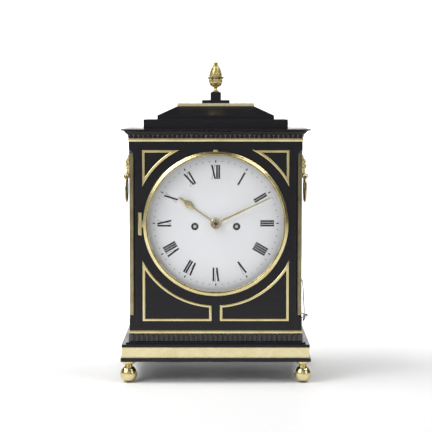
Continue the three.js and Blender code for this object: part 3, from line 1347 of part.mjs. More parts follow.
place(movement, 'escape_wheel', escapeWheel(), OLD_BRASS, 0, 0, escapeZ);
place(movement, 'cannon_wheel', cannonWheel(), OLD_BRASS);
place(movement, 'minute_wheel', minuteWheel(), OLD_BRASS, 0, 0, -CENTER_TO_MINUTE_WHEEL);
place(movement, 'hour_wheel', hourWheel(), OLD_BRASS);
place(movement, 'pallets', pallets(), STEEL, 0, 0, palletsZ);
place(movement, 'pendulum_cock', pendulumCock(), OLD_BRASS, 0, 0, palletsZ);
place(movement, 'pendulum', pendulum(), OLD_BRASS, 0, 0, palletsZ);
place(movement, 'bell', bell(), STEEL);
place(movement, 'bell_hammer', bellHammer(), STEEL, hammerX, 0, hammerZ);

export default clock;
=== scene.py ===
# %% [markdown]
# # A bracket clock in ebonised wood and brass
# The frame brings the case, the movement and the joints at their real size. This lesson dresses
# them: turned and cast brass gets smooth surfaces, the dial gets its printing, the wood its
# polish. Everything is in metres, and the frame's own coordinates are used throughout, so each
# new piece is drawn where the real one sits. Sizes in the cells are in millimetres times MM.

# %% The frame
import math

import bmesh
import bpy
from mathutils import Matrix, Vector


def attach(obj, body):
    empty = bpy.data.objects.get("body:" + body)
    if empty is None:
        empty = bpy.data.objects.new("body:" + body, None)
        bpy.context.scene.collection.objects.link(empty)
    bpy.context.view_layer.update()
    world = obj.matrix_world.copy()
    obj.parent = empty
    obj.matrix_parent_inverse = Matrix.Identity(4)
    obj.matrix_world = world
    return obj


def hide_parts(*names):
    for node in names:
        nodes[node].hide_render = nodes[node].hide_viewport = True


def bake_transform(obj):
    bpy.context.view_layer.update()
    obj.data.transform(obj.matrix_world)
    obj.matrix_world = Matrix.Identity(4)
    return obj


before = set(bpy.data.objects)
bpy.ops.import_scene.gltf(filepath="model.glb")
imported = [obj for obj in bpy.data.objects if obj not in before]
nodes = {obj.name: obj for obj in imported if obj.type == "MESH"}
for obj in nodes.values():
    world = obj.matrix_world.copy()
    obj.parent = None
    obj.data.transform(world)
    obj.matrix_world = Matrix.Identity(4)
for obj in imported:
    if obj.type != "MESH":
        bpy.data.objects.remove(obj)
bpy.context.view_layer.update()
MM = 0.001

# %% [markdown]
# ## The camera
# The picture was taken from two metres away, a little above the middle of the case, with the
# lens tilted down by four and a half degrees. The distance was found from how the plinth,
# the cornice and the roof lines spread, and the focal length is kept in pixels of a square
# picture, because that is how it was measured.

# %% Camera
PICTURE_WIDTH = 432
FOCAL_PIXELS = 1354.7
camera_data = bpy.data.cameras.new("camera")
camera_data.sensor_width = 36
camera_data.lens = FOCAL_PIXELS / PICTURE_WIDTH * camera_data.sensor_width
camera = bpy.data.objects.new("camera", camera_data)
camera.location = (0.0004, -2.0562, 0.4013)
camera.rotation_euler = (math.radians(90 - 4.558), 0, 0)
bpy.context.scene.collection.objects.link(camera)
bpy.context.scene.camera = camera
print("camera: lens", round(camera_data.lens, 2), "mm")

# %% [markdown]
# ## Helpers for finishes
# Every finish is a tree of nodes on one Principled shader. Small helpers keep the cells short:
# one starts a finish, one adds a node and sets its sockets, and one blends two colours by a
# pattern. All patterns read Object coordinates, so they stay put on a piece that moves.

# %% Finish helpers
def start_finish(name, **sockets):
    """A new material whose Principled shader has these plain values."""
    material = bpy.data.materials.new(name)
    material.use_nodes = True
    shader = material.node_tree.nodes["Principled BSDF"]
    for socket, value in sockets.items():
        shader.inputs[socket.replace("_", " ")].default_value = value
    return material, shader


def add_node(material, kind, links=None, **settings):
    """Adds a node; links maps an input's name or number to the output that feeds it."""
    tree = material.node_tree
    made = tree.nodes.new(kind)
    for key, value in settings.items():
        if hasattr(made, key):
            setattr(made, key, value)
        else:
            made.inputs[key.replace("_", " ")].default_value = value
    for socket, output in (links or {}).items():
        tree.links.new(output, made.inputs[socket])
    return made


def object_pattern(material, stretch=(1, 1, 1)):
    """Object coordinates, stretched along the grain or the brush marks."""
    where = add_node(material, "ShaderNodeTexCoord")
    mapped = add_node(material, "ShaderNodeMapping", {0: where.outputs["Object"]})
    mapped.inputs["Scale"].default_value = stretch
    return mapped.outputs[0]


def noise(material, where, scale, detail=4.0, roughness=0.55):
    made = add_node(material, "ShaderNodeTexNoise", {"Vector": where})
    made.inputs["Scale"].default_value = scale
    made.inputs["Detail"].default_value = detail
    made.inputs["Roughness"].default_value = roughness
    return made.outputs[0]


def ramp(material, value, *stops):
    """Colours along a value: each stop is (place, colour or grey)."""
    made = add_node(material, "ShaderNodeValToRGB", {0: value})
    elements = made.color_ramp.elements
    while len(elements) < len(stops):
        elements.new(0.5)
    for element, (place, colour) in zip(elements, stops):
        element.position = place
        grey = isinstance(colour, (int, float))
        element.color = (colour, colour, colour, 1) if grey else (*colour, 1)
    return made.outputs[0]


def mixed(material, share, first, second, blend="MIX"):
    made = add_node(material, "ShaderNodeMix", data_type="RGBA", blend_type=blend)
    tree = material.node_tree
    for socket, source in ((0, share), (6, first), (7, second)):
        if isinstance(source, bpy.types.NodeSocket):
            tree.links.new(source, made.inputs[socket])
        elif socket == 0:
            made.inputs[0].default_value = source
        else:
            made.inputs[socket].default_value = (*source, 1)
    return made.outputs[2]


def relief(material, shader, height, distance, strength=1.0, rounding=0.0):
    """Bumps the surface by a pattern, and softens sharp edges by a small rounding radius."""
    bump = add_node(material, "ShaderNodeBump", {"Height": height}, Strength=strength)
    bump.inputs["Distance"].default_value = distance
    if rounding:
        soft = add_node(material, "ShaderNodeBevel", samples=6)
        soft.inputs["Radius"].default_value = rounding
        material.node_tree.links.new(soft.outputs[0], bump.inputs["Normal"])
    material.node_tree.links.new(bump.outputs[0], shader.inputs["Normal"])


def feed(material, shader, **outputs):
    for socket, output in outputs.items():
        material.node_tree.links.new(output, shader.inputs[socket.replace("_", " ")])


# %% [markdown]
# ## Lacquered case brass
# The mouldings, bezel, frames and feet are pale yellow brass under old lacquer. Real brass of
# this age isn't one colour: the lacquer thins in patches, and dirt stays in the hollows. A wide
# noise shifts the tint, and a fine one breaks up the gloss. Ambient occlusion darkens the deepest
# hollows and the joins with other parts: partly the dirt a polishing cloth doesn't reach, partly painted shade.

# %% Brass finishes
def brass_finish(name, tint, shade, roughness, brush=(1, 1, 1), hollow=0.004, scratch=1.0, dirt_and_shade_tone=0.16):
    material, shader = start_finish(name, Metallic=1.0)
    where = object_pattern(material)
    brushed = object_pattern(material, brush)
    patches = noise(material, where, 45, 5)
    grain = noise(material, brushed, 900, 3)
    cleaned = ramp(material, patches, (0.35, shade), (0.62, tint))
    # Painted shade with dirt: ambient occlusion darkens hollows and joins with other parts towards a near-black
    # tone.
    corner = add_node(material, "ShaderNodeAmbientOcclusion", samples=6)
    corner.inputs["Distance"].default_value = hollow
    dirt_and_shade_mask = ramp(material, corner.outputs["AO"], (0.25, 0.0), (0.8, 1.0))
    dirt_and_shade_colour = mixed(material, dirt_and_shade_mask, tuple(dirt_and_shade_tone * c for c in shade), cleaned)
    gloss = ramp(material, grain, (0.3, roughness * 0.75), (0.75, roughness * 1.35))
    feed(material, shader, Base_Color=dirt_and_shade_colour, Roughness=gloss)
    relief(material, shader, grain, 0.00002 * scratch, 0.5, 0.0004)
    return material


case_brass = brass_finish("case_brass", (0.80, 0.71, 0.40), (0.70, 0.58, 0.28), 0.2)
cast_brass = brass_finish("cast_brass", (0.72, 0.62, 0.31), (0.56, 0.45, 0.18), 0.24, hollow=0.0025, dirt_and_shade_tone=0.06)
band_brass = brass_finish("band_brass", (0.86, 0.78, 0.48), (0.80, 0.70, 0.39), 0.3, (0.12, 0.12, 1.5))
# The corner strips' brass is the case brass at about half its brightness: painted shade on the canted corners,
# with a rougher gloss of their own.
shaded_strip_brass = brass_finish("shaded_strip_brass", (0.42, 0.37, 0.21), (0.31, 0.26, 0.14), 0.32, (1, 1, 0.1), 0.0015)
hand_brass = brass_finish("hand_brass", (0.66, 0.57, 0.33), (0.48, 0.40, 0.21), 0.17, (1, 1, 1), 0.0015)
movement_brass = brass_finish(
    "movement_brass", (0.70, 0.53, 0.24), (0.58, 0.41, 0.16), 0.32, (0.25, 1, 1), scratch=1.6)
bell_metal = brass_finish("bell_metal", (0.66, 0.55, 0.36), (0.55, 0.44, 0.27), 0.25, (1, 1, 3))

# %% [markdown]
# ## Ebonised wood
# Ebonised pearwood is stained black and French polished: a very dark, faintly warm ground under
# a clear coat. The grain shows only as faint long streaks and a slight ripple in the gloss. At
# the edges two centuries of dusting have rubbed through the stain, so the wood is browner there;
# on the carved reeds and arcade the edge colour is a pale grey instead, a painted highlight on the
# ridges over that wear. A Bevel node gives the rounded direction near an edge, and where it differs from the
# true one, the edge is near.

# %% Wood finishes
def edge_share(material, radius):
    """1 on open faces, falling towards sharp edges."""
    soft = add_node(material, "ShaderNodeBevel", samples=6)
    soft.inputs["Radius"].default_value = radius
    flat = add_node(material, "ShaderNodeNewGeometry")
    dot = add_node(material, "ShaderNodeVectorMath",
                   {0: soft.outputs[0], 1: flat.outputs["True Normal"]}, operation="DOT_PRODUCT")
    return dot.outputs["Value"]


def wood_finish(name, dark, light, wear_and_highlight_colour, roughness, coat, stretch, grain_scale=220, depth=0.00004,
                shine=0.3):
    material, shader = start_finish(name, Coat_Weight=coat, Coat_Roughness=0.09, Specular_IOR_Level=shine)
    along = object_pattern(material, stretch)
    streaks = noise(material, along, grain_scale, 6, 0.65)
    patches = noise(material, object_pattern(material), 14, 3)
    ground = mixed(material, ramp(material, streaks, (0.3, 0.0), (0.72, 1.0)), dark, light)
    ground = mixed(material, ramp(material, patches, (0.35, 0.0), (0.7, 0.35)), ground, light)
    edge = ramp(material, edge_share(material, 0.0009), (0.80, 1.0), (0.97, 0.0))
    broken = noise(material, object_pattern(material), 160, 3)
    wear_and_highlight_share = mixed(material, ramp(material, broken, (0.42, 0.0), (0.62, 1.0)), (0, 0, 0), edge, "MIX")
    colour = mixed(material, wear_and_highlight_share, ground, wear_and_highlight_colour)
    gloss = ramp(material, patches, (0.3, roughness * 0.8), (0.75, roughness * 1.3))
    feed(material, shader, Base_Color=colour, Roughness=gloss)
    relief(material, shader, streaks, depth, 0.6, 0.0005)
    return material


STAIN, STAIN_LIGHT, RUBBED = (0.0032, 0.0030, 0.0055), (0.0062, 0.0056, 0.0085), (0.034, 0.026, 0.022)
ebonised = wood_finish("ebonised", STAIN, STAIN_LIGHT, RUBBED, 0.3, 0.12, (0.05, 1, 1))
ebonised_upright = wood_finish("ebonised_upright", STAIN, STAIN_LIGHT, RUBBED, 0.3, 0.12, (1, 1, 0.05))
# Painted highlights: the pale grey edge colour of the reeds and the arcade stands in for glints on their
# polished ridges, over the real edge wear.
carved_ebony = wood_finish("carved_ebony", STAIN, STAIN_LIGHT, (0.16, 0.15, 0.16), 0.18, 0.45, (1, 1, 0.1),
                           shine=0.5)
arcade_ebony = wood_finish("arcade_ebony", STAIN, STAIN_LIGHT, (0.45, 0.42, 0.4), 0.16, 1.0, (1, 1, 0.1),
                           shine=1.0)
for carving, index in ((carved_ebony, 1.5), (arcade_ebony, 2.1)):
    carving.node_tree.nodes["Principled BSDF"].inputs["Coat IOR"].default_value = index
plain_oak = wood_finish("plain_oak", (0.13, 0.065, 0.03), (0.25, 0.14, 0.07), (0.3, 0.18, 0.1),
                        0.55, 0.0, (0.06, 1, 1), 160, 0.0001)

# %% [markdown]
# ## Dial paint, ink, glass, steel, silver and cord
# The dial is white japanned metal, so it gets a gloss paint with a breath of warm ageing. The ink
# is a little uneven. The glass is a clear sheet that mostly lets light through, so it is nearly
# transparent rather than refracting, which also lets the light reach the dial. Steel and silver
# are brushed metals, and the cord is dull thread.

# %% The other finishes
def paint_finish():
    material, shader = start_finish("dial_paint", Coat_Weight=0.25, Coat_Roughness=0.08)
    where = object_pattern(material)
    clouds = noise(material, where, 18, 4)
    colour = ramp(material, clouds, (0.3, (0.80, 0.81, 0.84)), (0.7, (0.84, 0.845, 0.865)))
    gloss = ramp(material, noise(material, where, 300, 3), (0.3, 0.16), (0.7, 0.26))
    feed(material, shader, Base_Color=colour, Roughness=gloss)
    relief(material, shader, noise(material, where, 120, 2), 0.00003, 0.3)
    return material


def ink_finish():
    material, shader = start_finish("dial_ink", Specular_IOR_Level=0.15)
    where = object_pattern(material)
    wear = noise(material, where, 700, 4)
    colour = ramp(material, wear, (0.35, (0.006, 0.006, 0.009)), (0.8, (0.018, 0.018, 0.022)))
    gloss = ramp(material, wear, (0.3, 0.35), (0.7, 0.5))
    feed(material, shader, Base_Color=colour, Roughness=gloss)
    return material


def glass_finish():
    material, shader = start_finish("clear_glass", Roughness=0.03, IOR=1.5)
    where = object_pattern(material)
    smear = noise(material, where, 30, 4)
    tint = ramp(material, smear, (0.3, (0.82, 0.86, 0.85)), (0.7, (0.92, 0.94, 0.94)))
    see = ramp(material, smear, (0.35, 0.02), (0.75, 0.04))
    feed(material, shader, Base_Color=tint, Alpha=see)
    return material


def metal_finish(name, dark, light, roughness, brush):
    material, shader = start_finish(name, Metallic=1.0)
    where = object_pattern(material)
    lines = noise(material, object_pattern(material, brush), 1400, 3)
    colour = ramp(material, noise(material, where, 90, 4), (0.3, dark), (0.7, light))
    gloss = ramp(material, lines, (0.3, roughness * 0.8), (0.7, roughness * 1.3))
    feed(material, shader, Base_Color=colour, Roughness=gloss)
    relief(material, shader, lines, 0.00002, 0.4, 0.0003)
    return material


def thread_finish():
    material, shader = start_finish("braided_thread", Roughness=0.85, Sheen_Weight=0.05)
    where = object_pattern(material)
    fibres = noise(material, where, 2600, 3)
    colour = ramp(material, fibres, (0.3, (0.012, 0.012, 0.015)), (0.75, (0.05, 0.05, 0.055)))
    feed(material, shader, Base_Color=colour)
    relief(material, shader, fibres, 0.0001, 0.8)
    return material


dial_paint, dial_ink, clear_glass = paint_finish(), ink_finish(), glass_finish()
ground_steel = metal_finish("ground_steel", (0.33, 0.34, 0.36), (0.46, 0.47, 0.49), 0.3, (0.2, 1, 1))
silvered = metal_finish("silvered", (0.62, 0.62, 0.62), (0.78, 0.78, 0.77), 0.2, (1, 1, 0.3))
square_steel = metal_finish("square_steel", (0.55, 0.54, 0.52), (0.7, 0.69, 0.67), 0.45, (1, 0.3, 1))
square_steel.node_tree.nodes["Principled BSDF"].inputs["Metallic"].default_value = 0.35
blued_steel = metal_finish("blued_steel", (0.03, 0.03, 0.04), (0.07, 0.07, 0.09), 0.35, (1, 1, 1))
braided_thread = thread_finish()

# %% [markdown]
# ## Dressing the carried-over pieces
# Flat boards, plates and toothed wheels are already right in shape, so they stay and only get a
# finish. Grain runs along a board's longest side.

# %% Finishes on the frame's own pieces
FINISH_OF = {
    ebonised: ["plinth", "front_panel", "roof", "back_door", "cornice", "reeded_moulding"],
    ebonised_upright: ["left_side_panel", "right_side_panel"],
    plain_oak: ["seatboard"],
    band_brass: ["plinth_brass_band", "roof_brass_moulding"],
    shaded_strip_brass: ["left_corner_strip", "right_corner_strip"],
    movement_brass: [
        "movement_front_plate", "movement_back_plate", "going_great_wheel", "going_fusee",
        "strike_fusee", "going_barrel", "strike_barrel", "center_wheel", "third_wheel",
        "escape_wheel", "cannon_wheel", "minute_wheel", "hour_wheel", "pendulum_cock", "pendulum"],
    ground_steel: ["pallets", "bell_hammer"],
    bell_metal: ["bell"],
    clear_glass: ["bezel_glass", "back_door_glass"],
    dial_paint: ["dial"],
    braided_thread: ["pull_cord"],
    silvered: ["cord_pull"],
}
for finish, names in FINISH_OF.items():
    for name in names:
        nodes[name].data.materials.clear()
        nodes[name].data.materials.append(finish)
plain = [n for n in nodes if not any(n in names for names in FINISH_OF.values())]
for name in plain:
    nodes[name].data.materials.clear()
    nodes[name].data.materials.append(case_brass)
print("dressed:", len(nodes), "nodes,", len(plain), "of them in case brass")

# %% [markdown]
# ## Helpers for shapes
# Most pieces are turned, mitred round a rectangle or cut from plate, so three helpers make
# nearly everything. `turned` spins a line of (radius, height) points. `mitred` spins a line in
# four steps, which gives a square with mitred corners, and then pushes the sides apart to the
# case's width and depth. `piece` turns a bmesh into an object: it points the faces outwards,
# shades it smooth but keeps edges sharp where faces meet steeply, and fastens it to its body.

# %% Shape helpers
TURN_TO = {
    "X": Matrix.Rotation(math.pi / 2, 4, "Y"),
    "Y": Matrix.Rotation(-math.pi / 2, 4, "X"),
    "Z": Matrix.Identity(4),
}


def line_of(bm, points):
    verts = [bm.verts.new(p) for p in points]
    return verts + [bm.edges.new(pair) for pair in zip(verts, verts[1:])]


def turned(profile, axis="Z", place=(0, 0, 0), steps=64, bm=None):
    """Spins (radius, height) points in millimetres about an axis through place."""
    target, bm = bm, bmesh.new()
    geometry = line_of(bm, [(r * MM, 0, h * MM) for r, h in profile])
    bmesh.ops.spin(bm, geom=geometry, axis=(0, 0, 1), cent=(0, 0, 0), steps=steps,
                   angle=math.tau, use_merge=True)
    bmesh.ops.remove_doubles(bm, verts=bm.verts, dist=1e-6)
    bmesh.ops.dissolve_degenerate(bm, edges=bm.edges, dist=1e-7)
    matrix = Matrix.Translation(Vector(place) * MM) @ TURN_TO[axis]
    bmesh.ops.transform(bm, matrix=matrix, verts=bm.verts)
    return into(target, bm)


def into(target, bm):
    """Adds one bmesh to another, so that a piece can be made of several turned shapes."""
    bmesh.ops.recalc_face_normals(bm, faces=bm.faces)
    if target is None:
        return bm
    mesh = bpy.data.meshes.new("part")
    bm.to_mesh(mesh)
    target.from_mesh(mesh)
    bpy.data.meshes.remove(mesh)
    bm.free()
    return target


def box_into(bm, low, high, turn=0.0, axis="Y", pivot=(0, 0, 0)):
    """A block from its low corner to its high corner, in millimetres, turned about a pivot."""
    block = bmesh.new()
    bmesh.ops.create_cube(block, size=1)
    size = [h - l for l, h in zip(low, high)]
    middle = [(h + l) / 2 for l, h in zip(low, high)]
    bmesh.ops.scale(block, vec=Vector(size) * MM, verts=block.verts)
    bmesh.ops.translate(block, vec=Vector(middle) * MM, verts=block.verts)
    bmesh.ops.rotate(block, cent=Vector(pivot) * MM, verts=block.verts,
                     matrix=Matrix.Rotation(math.radians(turn), 3, axis))
    return into(bm, block)


def round_edges(bm, offset, segments=2, steeper=35):
    sharp = [e for e in bm.edges
             if e.is_manifold and e.calc_face_angle(0) > math.radians(steeper)]
    if sharp:
        bmesh.ops.bevel(bm, geom=sharp, offset=offset * MM, segments=segments, profile=0.5,
                        affect="EDGES", clamp_overlap=True, material=-1)
    return bm


def piece(name, bm, body, finish, replaces=(), smooth=38, outward=True):
    if outward:
        bmesh.ops.recalc_face_normals(bm, faces=bm.faces)
    for face in bm.faces:
        face.smooth = True
    for edge in bm.edges:
        edge.smooth = edge.calc_face_angle(0) < math.radians(smooth)
    mesh = bpy.data.meshes.new(name)
    bm.to_mesh(mesh)
    bm.free()
    made = bpy.data.objects.new(name, mesh)
    bpy.context.scene.collection.objects.link(made)
    for one in finish if isinstance(finish, list) else [finish]:
        mesh.materials.append(one)
    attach(made, body)
    if replaces:
        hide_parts(*replaces)
    print(name + ":", len(mesh.polygons), "faces")
    return made


def mitred(profile, bm=None):
    """A moulding round the case: (out from the case's side, height) points in millimetres."""
    target, bm = bm, bmesh.new()
    core = 60
    geometry = line_of(bm, [((core + out) * math.sqrt(2) * MM, 0, h * MM) for out, h in profile])
    bmesh.ops.spin(bm, geom=geometry, axis=(0, 0, 1), cent=(0, 0, 0), steps=4,
                   angle=math.tau, use_merge=True)
    bmesh.ops.remove_doubles(bm, verts=bm.verts, dist=1e-6)
    bmesh.ops.rotate(bm, cent=(0, 0, 0), verts=bm.verts, matrix=Matrix.Rotation(math.pi / 4, 3, "Z"))
    for axis, half in ((0, HALF_WIDTH), (1, HALF_DEPTH)):
        for side in (-1, 1):
            verts = [v for v in bm.verts if v.co[axis] * side > 0]
            shift = Vector((0, 0, 0))
            shift[axis] = side * (half - core) * MM
            bmesh.ops.translate(bm, vec=shift, verts=verts)
    return into(target, bm)


def arc(cx, cy, radius, start, end, steps):
    """Points on a circle, from a start angle to an end angle in degrees."""
    return [(cx + radius * math.cos(math.radians(start + (end - start) * i / steps)),
             cy + radius * math.sin(math.radians(start + (end - start) * i / steps)))
            for i in range(steps + 1)]


# %% [markdown]
# ## The case's main levels
# These are the heights and places that several cells share, read from the frame's own pieces
# where they can be.

# %% Levels and places
HALF_WIDTH, HALF_DEPTH = 126.25, 88
FRONT_Y = -HALF_DEPTH
PLINTH_TOP, REED_TOP, BODY_BOTTOM = 59, 71, 76.25
BODY_TOP, ARCADE_BOTTOM, CORNICE_BOTTOM, ROOF_BOTTOM = 352.75, 358, 363.25, 370.75
FINIAL_BOTTOM, DIAL_Z = 425, 233
REBATE = 4

# %% [markdown]
# ## The repeat cord
# A twisted cord comes out of a bush in the right side and hangs with its pull. It is the only
# free cord, so it comes first. Its line is the frame's own line. Three strands run side by side
# round that line: each is a circle that is extruded from station to station, and the stations
# turn as they go down. The cord bends between the case and the pull, because the pull slides.

# %% Cord
CORD_START = Vector((129.55, 0, 140)) * MM
CORD_LINE = [Vector(p) * MM for p in (
    (0, 0, 0), (0.9, 0, -0.1), (1.8, 0, -0.6), (2.6, 0, -1.6), (3.1, 0, -3), (3.4, 0, -5),
    (3.65, 0, -8), (3.9, 0, -12), (4.2, 0, -17), (4.5, 0, -22), (4.8, 0, -27), (5.1, 0, -32),
    (5.35, 0, -37), (5.6, 0, -42), (5.8, 0, -46.5), (5.9, 0, -50.5))]
cord_path = [CORD_START + p for p in CORD_LINE]


def along_path(path, spacing):
    """Evenly spaced points and directions on a smooth line through the path's points."""
    lengths = [0]
    for a, b in zip(path, path[1:]):
        lengths.append(lengths[-1] + (b - a).length)
    count = max(2, round(lengths[-1] / spacing))
    stations = []
    for i in range(count + 1):
        want = lengths[-1] * i / count
        k = min(next((j for j, d in enumerate(lengths) if d >= want - 1e-9), 1) or 1, len(path) - 1)
        share = (want - lengths[k - 1]) / (lengths[k] - lengths[k - 1])
        before, after = path[max(k - 2, 0)], path[min(k + 1, len(path) - 1)]
        a, b = path[k - 1], path[k]
        ta, tb = (b - before) / 2, (after - a) / 2
        s2, s3 = share * share, share ** 3
        point = (2 * s3 - 3 * s2 + 1) * a + (s3 - 2 * s2 + share) * ta \
            + (-2 * s3 + 3 * s2) * b + (s3 - s2) * tb
        stations.append((want, point))
    return stations


def tube_into(bm, points, radii, sides=8):
    """Extrudes a circle along points, and closes both ends."""
    made = bmesh.ops.create_circle(bm, segments=sides, radius=1, cap_ends=False)
    ring = made["verts"]
    local = [v.co.copy() for v in ring]
    side = Vector((0, 1, 0))
    first = None
    for i, point in enumerate(points):
        ahead = (points[min(i + 1, len(points) - 1)] - points[max(i - 1, 0)]).normalized()
        across = side.cross(ahead).normalized()
        side = ahead.cross(across).normalized()
        if i:
            edges = [e for e in set(e for v in ring for e in v.link_edges)
                     if e.verts[0] in ring and e.verts[1] in ring]
            extruded = bmesh.ops.extrude_edge_only(bm, edges=edges)["geom"]
            grown = {}
            for v in (g for g in extruded if isinstance(g, bmesh.types.BMVert)):
                root = next(e.other_vert(v) for e in v.link_edges if e.other_vert(v) in ring)
                grown[root] = v
            ring = [grown[v] for v in ring]
        for v, flat in zip(ring, local):
            v.co = point + (across * flat.x + side * flat.y) * radii[i]
        first = first or ring
    for end in (first, ring):
        bmesh.ops.contextual_create(bm, geom=end)
    return bm


cord_mesh = bmesh.new()
STRANDS, LAY_LENGTH = 3, 4.2 * MM
for strand in range(STRANDS):
    points = []
    for length, point in along_path(cord_path, 0.5 * MM):
        turn = math.tau * (length / LAY_LENGTH + strand / STRANDS)
        offset = Vector((math.cos(turn), math.sin(turn), 0.4 * math.sin(turn))) * 0.42 * MM
        points.append(point + offset)
    tube_into(cord_mesh, points, [0.44 * MM] * len(points))
cord = piece("twisted_cord", cord_mesh, "case", braided_thread, ["pull_cord"], smooth=60)
cord.parent = None
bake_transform(cord)

# %% [markdown]
# ## The pull
# The pull on the cord's end is a small silvered bell shape that lies on its side, with a wire ring
# and the knotted end of the cord. The bell is turned, and the ring is a circle that is spun.

# %% Cord pull
PULL_X, PULL_Z = 135.45, 84.7
pull_mesh = turned([(0, -1.5), (2.6, -1.5), (3.3, -1.35), (4.1, -0.4), (4.5, 0.3), (4.5, 1.0), (4.15, 1.7),
                    (3.2, 2.9), (2.3, 3.9), (1.6, 5.0), (1.1, 6.0), (1.0, 6.4), (0.7, 6.9), (0, 7.0)],
                   "X", (PULL_X, 0, PULL_Z), 32)


def ring_into(bm, radius, wire, place, turn, axis="Z", steps=48, sides=12, tilt=None):
    """A wire ring: a circle spun about an axis, tilted, then turned, then put in its place."""
    ring = bmesh.new()
    circle = bmesh.ops.create_circle(ring, segments=sides, radius=wire * MM)["verts"]
    stand = Matrix.Translation((radius * MM, 0, 0)) @ Matrix.Rotation(math.pi / 2, 4, "X")
    bmesh.ops.transform(ring, matrix=stand, verts=circle)
    bmesh.ops.spin(ring, geom=ring.verts[:] + ring.edges[:], axis=(0, 0, 1), cent=(0, 0, 0),
                   steps=steps, angle=math.tau, use_merge=True)
    bmesh.ops.remove_doubles(ring, verts=ring.verts, dist=1e-6)
    matrix = Matrix.Translation(Vector(place) * MM) @ Matrix.Rotation(math.radians(turn), 4, axis)
    if tilt:
        matrix = matrix @ Matrix.Rotation(math.radians(tilt[1]), 4, tilt[0])
    bmesh.ops.transform(ring, matrix=matrix, verts=ring.verts)
    return into(bm, ring)


ring_into(pull_mesh, 3.375, 0.6, (PULL_X - 2.8, 0, PULL_Z), 49, "Z", tilt=("X", 90))
pull = piece("cord_pull_bell", pull_mesh, "cord_pull", silvered, ["cord_pull"])
knot_mesh = bmesh.new()
KNOT = [Vector(p) * MM for p in ((135.4, 0, 80.6), (135.1, 0, 79.6), (134.7, 0, 78.4), (134.3, 0, 77.2),
                                 (133.9, 0, 76.0))]
tube_into(knot_mesh, KNOT, [r * MM for r in (1.0, 1.5, 1.35, 0.85, 0.6)], 10)
knot = piece("cord_knot", knot_mesh, "cord_pull", braided_thread, smooth=60)
turned([(1.15, -6), (2, -6), (2, 0), (4, 0), (4, 0.7), (3.6, 1.3), (2.9, 1.8), (2.4, 2.6), (2.2, 3),
        (1.5, 3), (1.15, 2.6), (1.15, -6)], "X", (HALF_WIDTH, 0, 140), 32, bush_mesh := bmesh.new())
bush = piece("cord_bush_turned", bush_mesh, "case", case_brass, ["cord_bush"])

# %% [markdown]
# ## Ball feet
# Each foot is a turned and polished brass ball on a short neck under a collar. The line is an
# arc from the small flat that stands on the table up to the neck.

# %% Feet
BALL_RADIUS, FOOT_HEIGHT = 12.6, 31.5
ball_center = math.sqrt(BALL_RADIUS ** 2 - 2.75 ** 2)
ball = arc(0, ball_center, BALL_RADIUS, -77.5, 61.5, 28)
FOOT_LINE = [(0, 0), *ball, (5.6, 24.6), (5.4, 25.4), (5.9, 26.3), (7.2, 27.2), (8.6, 28.2), (9, 28.9),
             (9, FOOT_HEIGHT), (0, FOOT_HEIGHT)]
for depth_name, depth in (("front", -1), ("back", 1)):
    for side_name, side in (("left", -1), ("right", 1)):
        foot_mesh = turned(FOOT_LINE, "Z", (side * 127.75, depth * 89.5, 0))
        piece(f"ball_foot_{depth_name}_{side_name}", foot_mesh, "case", case_brass,
              [f"foot_{depth_name}_{side_name}"])

# %% [markdown]
# ## Brass strings
# Two flat-rounded brass strings edge the body, above and below. Their section is a low arch, and
# the four-step spin gives true mitres at the corners.

# %% Strings
STRING_HEIGHT, STRING_OUT = 5.25, 1


def string_line(bottom):
    crown = [(STRING_OUT * math.sin(math.pi * i / 10) ** 0.6, bottom + STRING_HEIGHT * i / 10)
             for i in range(11)]
    return [(-REBATE, bottom), *crown, (-REBATE, bottom + STRING_HEIGHT), (-REBATE, bottom)]


for name, bottom in (("lower", REED_TOP), ("upper", BODY_TOP)):
    piece(f"{name}_string", mitred(string_line(bottom)), "case", case_brass,
          [f"{name}_brass_string"])

# %% [markdown]
# ## The plinth's band and the corner flutes
# The plinth is faced with a brass band that has a low fillet along both edges. The canted front
# corners carry brass strips with a hollow flute, so a dark line runs down the middle of each. A
# flute is one closed line, made a face, extruded upwards, and turned to the canted corner.

# %% Band and flutes
BAND_LOW, BAND_HIGH = 36.75, 52.75
band_line = [(7.5, BAND_LOW), (10.6, BAND_LOW), (11, BAND_LOW + 0.4), (11, BAND_LOW + 1.3),
             (10.65, BAND_LOW + 1.7), (10.65, BAND_HIGH - 1.7), (11, BAND_HIGH - 1.3),
             (11, BAND_HIGH - 0.4), (10.6, BAND_HIGH), (7.5, BAND_HIGH), (7.5, BAND_LOW)]
piece("plinth_band", mitred(band_line), "case", band_brass, ["plinth_brass_band"], smooth=25)

FLUTE_LOW, FLUTE_HIGH, FLUTE_X, FLUTE_Y = 95.2, 338.6, 123.05, 84.8
flute_line = [(-4.05, 0.9), (-4.05, 0), (-3.6, -0.25), (-3.0, -0.1), *[
    (2.6 * math.sin(math.radians(a)), -0.15 + 0.95 * math.cos(math.radians(a))) for a in range(-80, 81, 16)],
    (3.0, -0.1), (3.6, -0.25), (4.05, 0), (4.05, 0.9)]
for side_name, side in (("left", -1), ("right", 1)):
    flute = bmesh.new()
    section = line_of(flute, [(x * MM, y * MM, FLUTE_LOW * MM) for x, y in flute_line])[:len(flute_line)]
    bmesh.ops.contextual_create(flute, geom=section)
    grown = bmesh.ops.extrude_face_region(flute, geom=flute.faces[:])["geom"]
    bmesh.ops.translate(flute, vec=(0, 0, (FLUTE_HIGH - FLUTE_LOW) * MM),
                        verts=[g for g in grown if isinstance(g, bmesh.types.BMVert)])
    corner_place = (Matrix.Translation(Vector((side * FLUTE_X, -FLUTE_Y, 0)) * MM)
                    @ Matrix.Rotation(side * math.pi / 4, 4, "Z"))
    bmesh.ops.transform(flute, matrix=corner_place, verts=flute.verts)
    piece(f"{side_name}_flute", flute, "case", shaded_strip_brass, [f"{side_name}_corner_strip"],
          smooth=30)

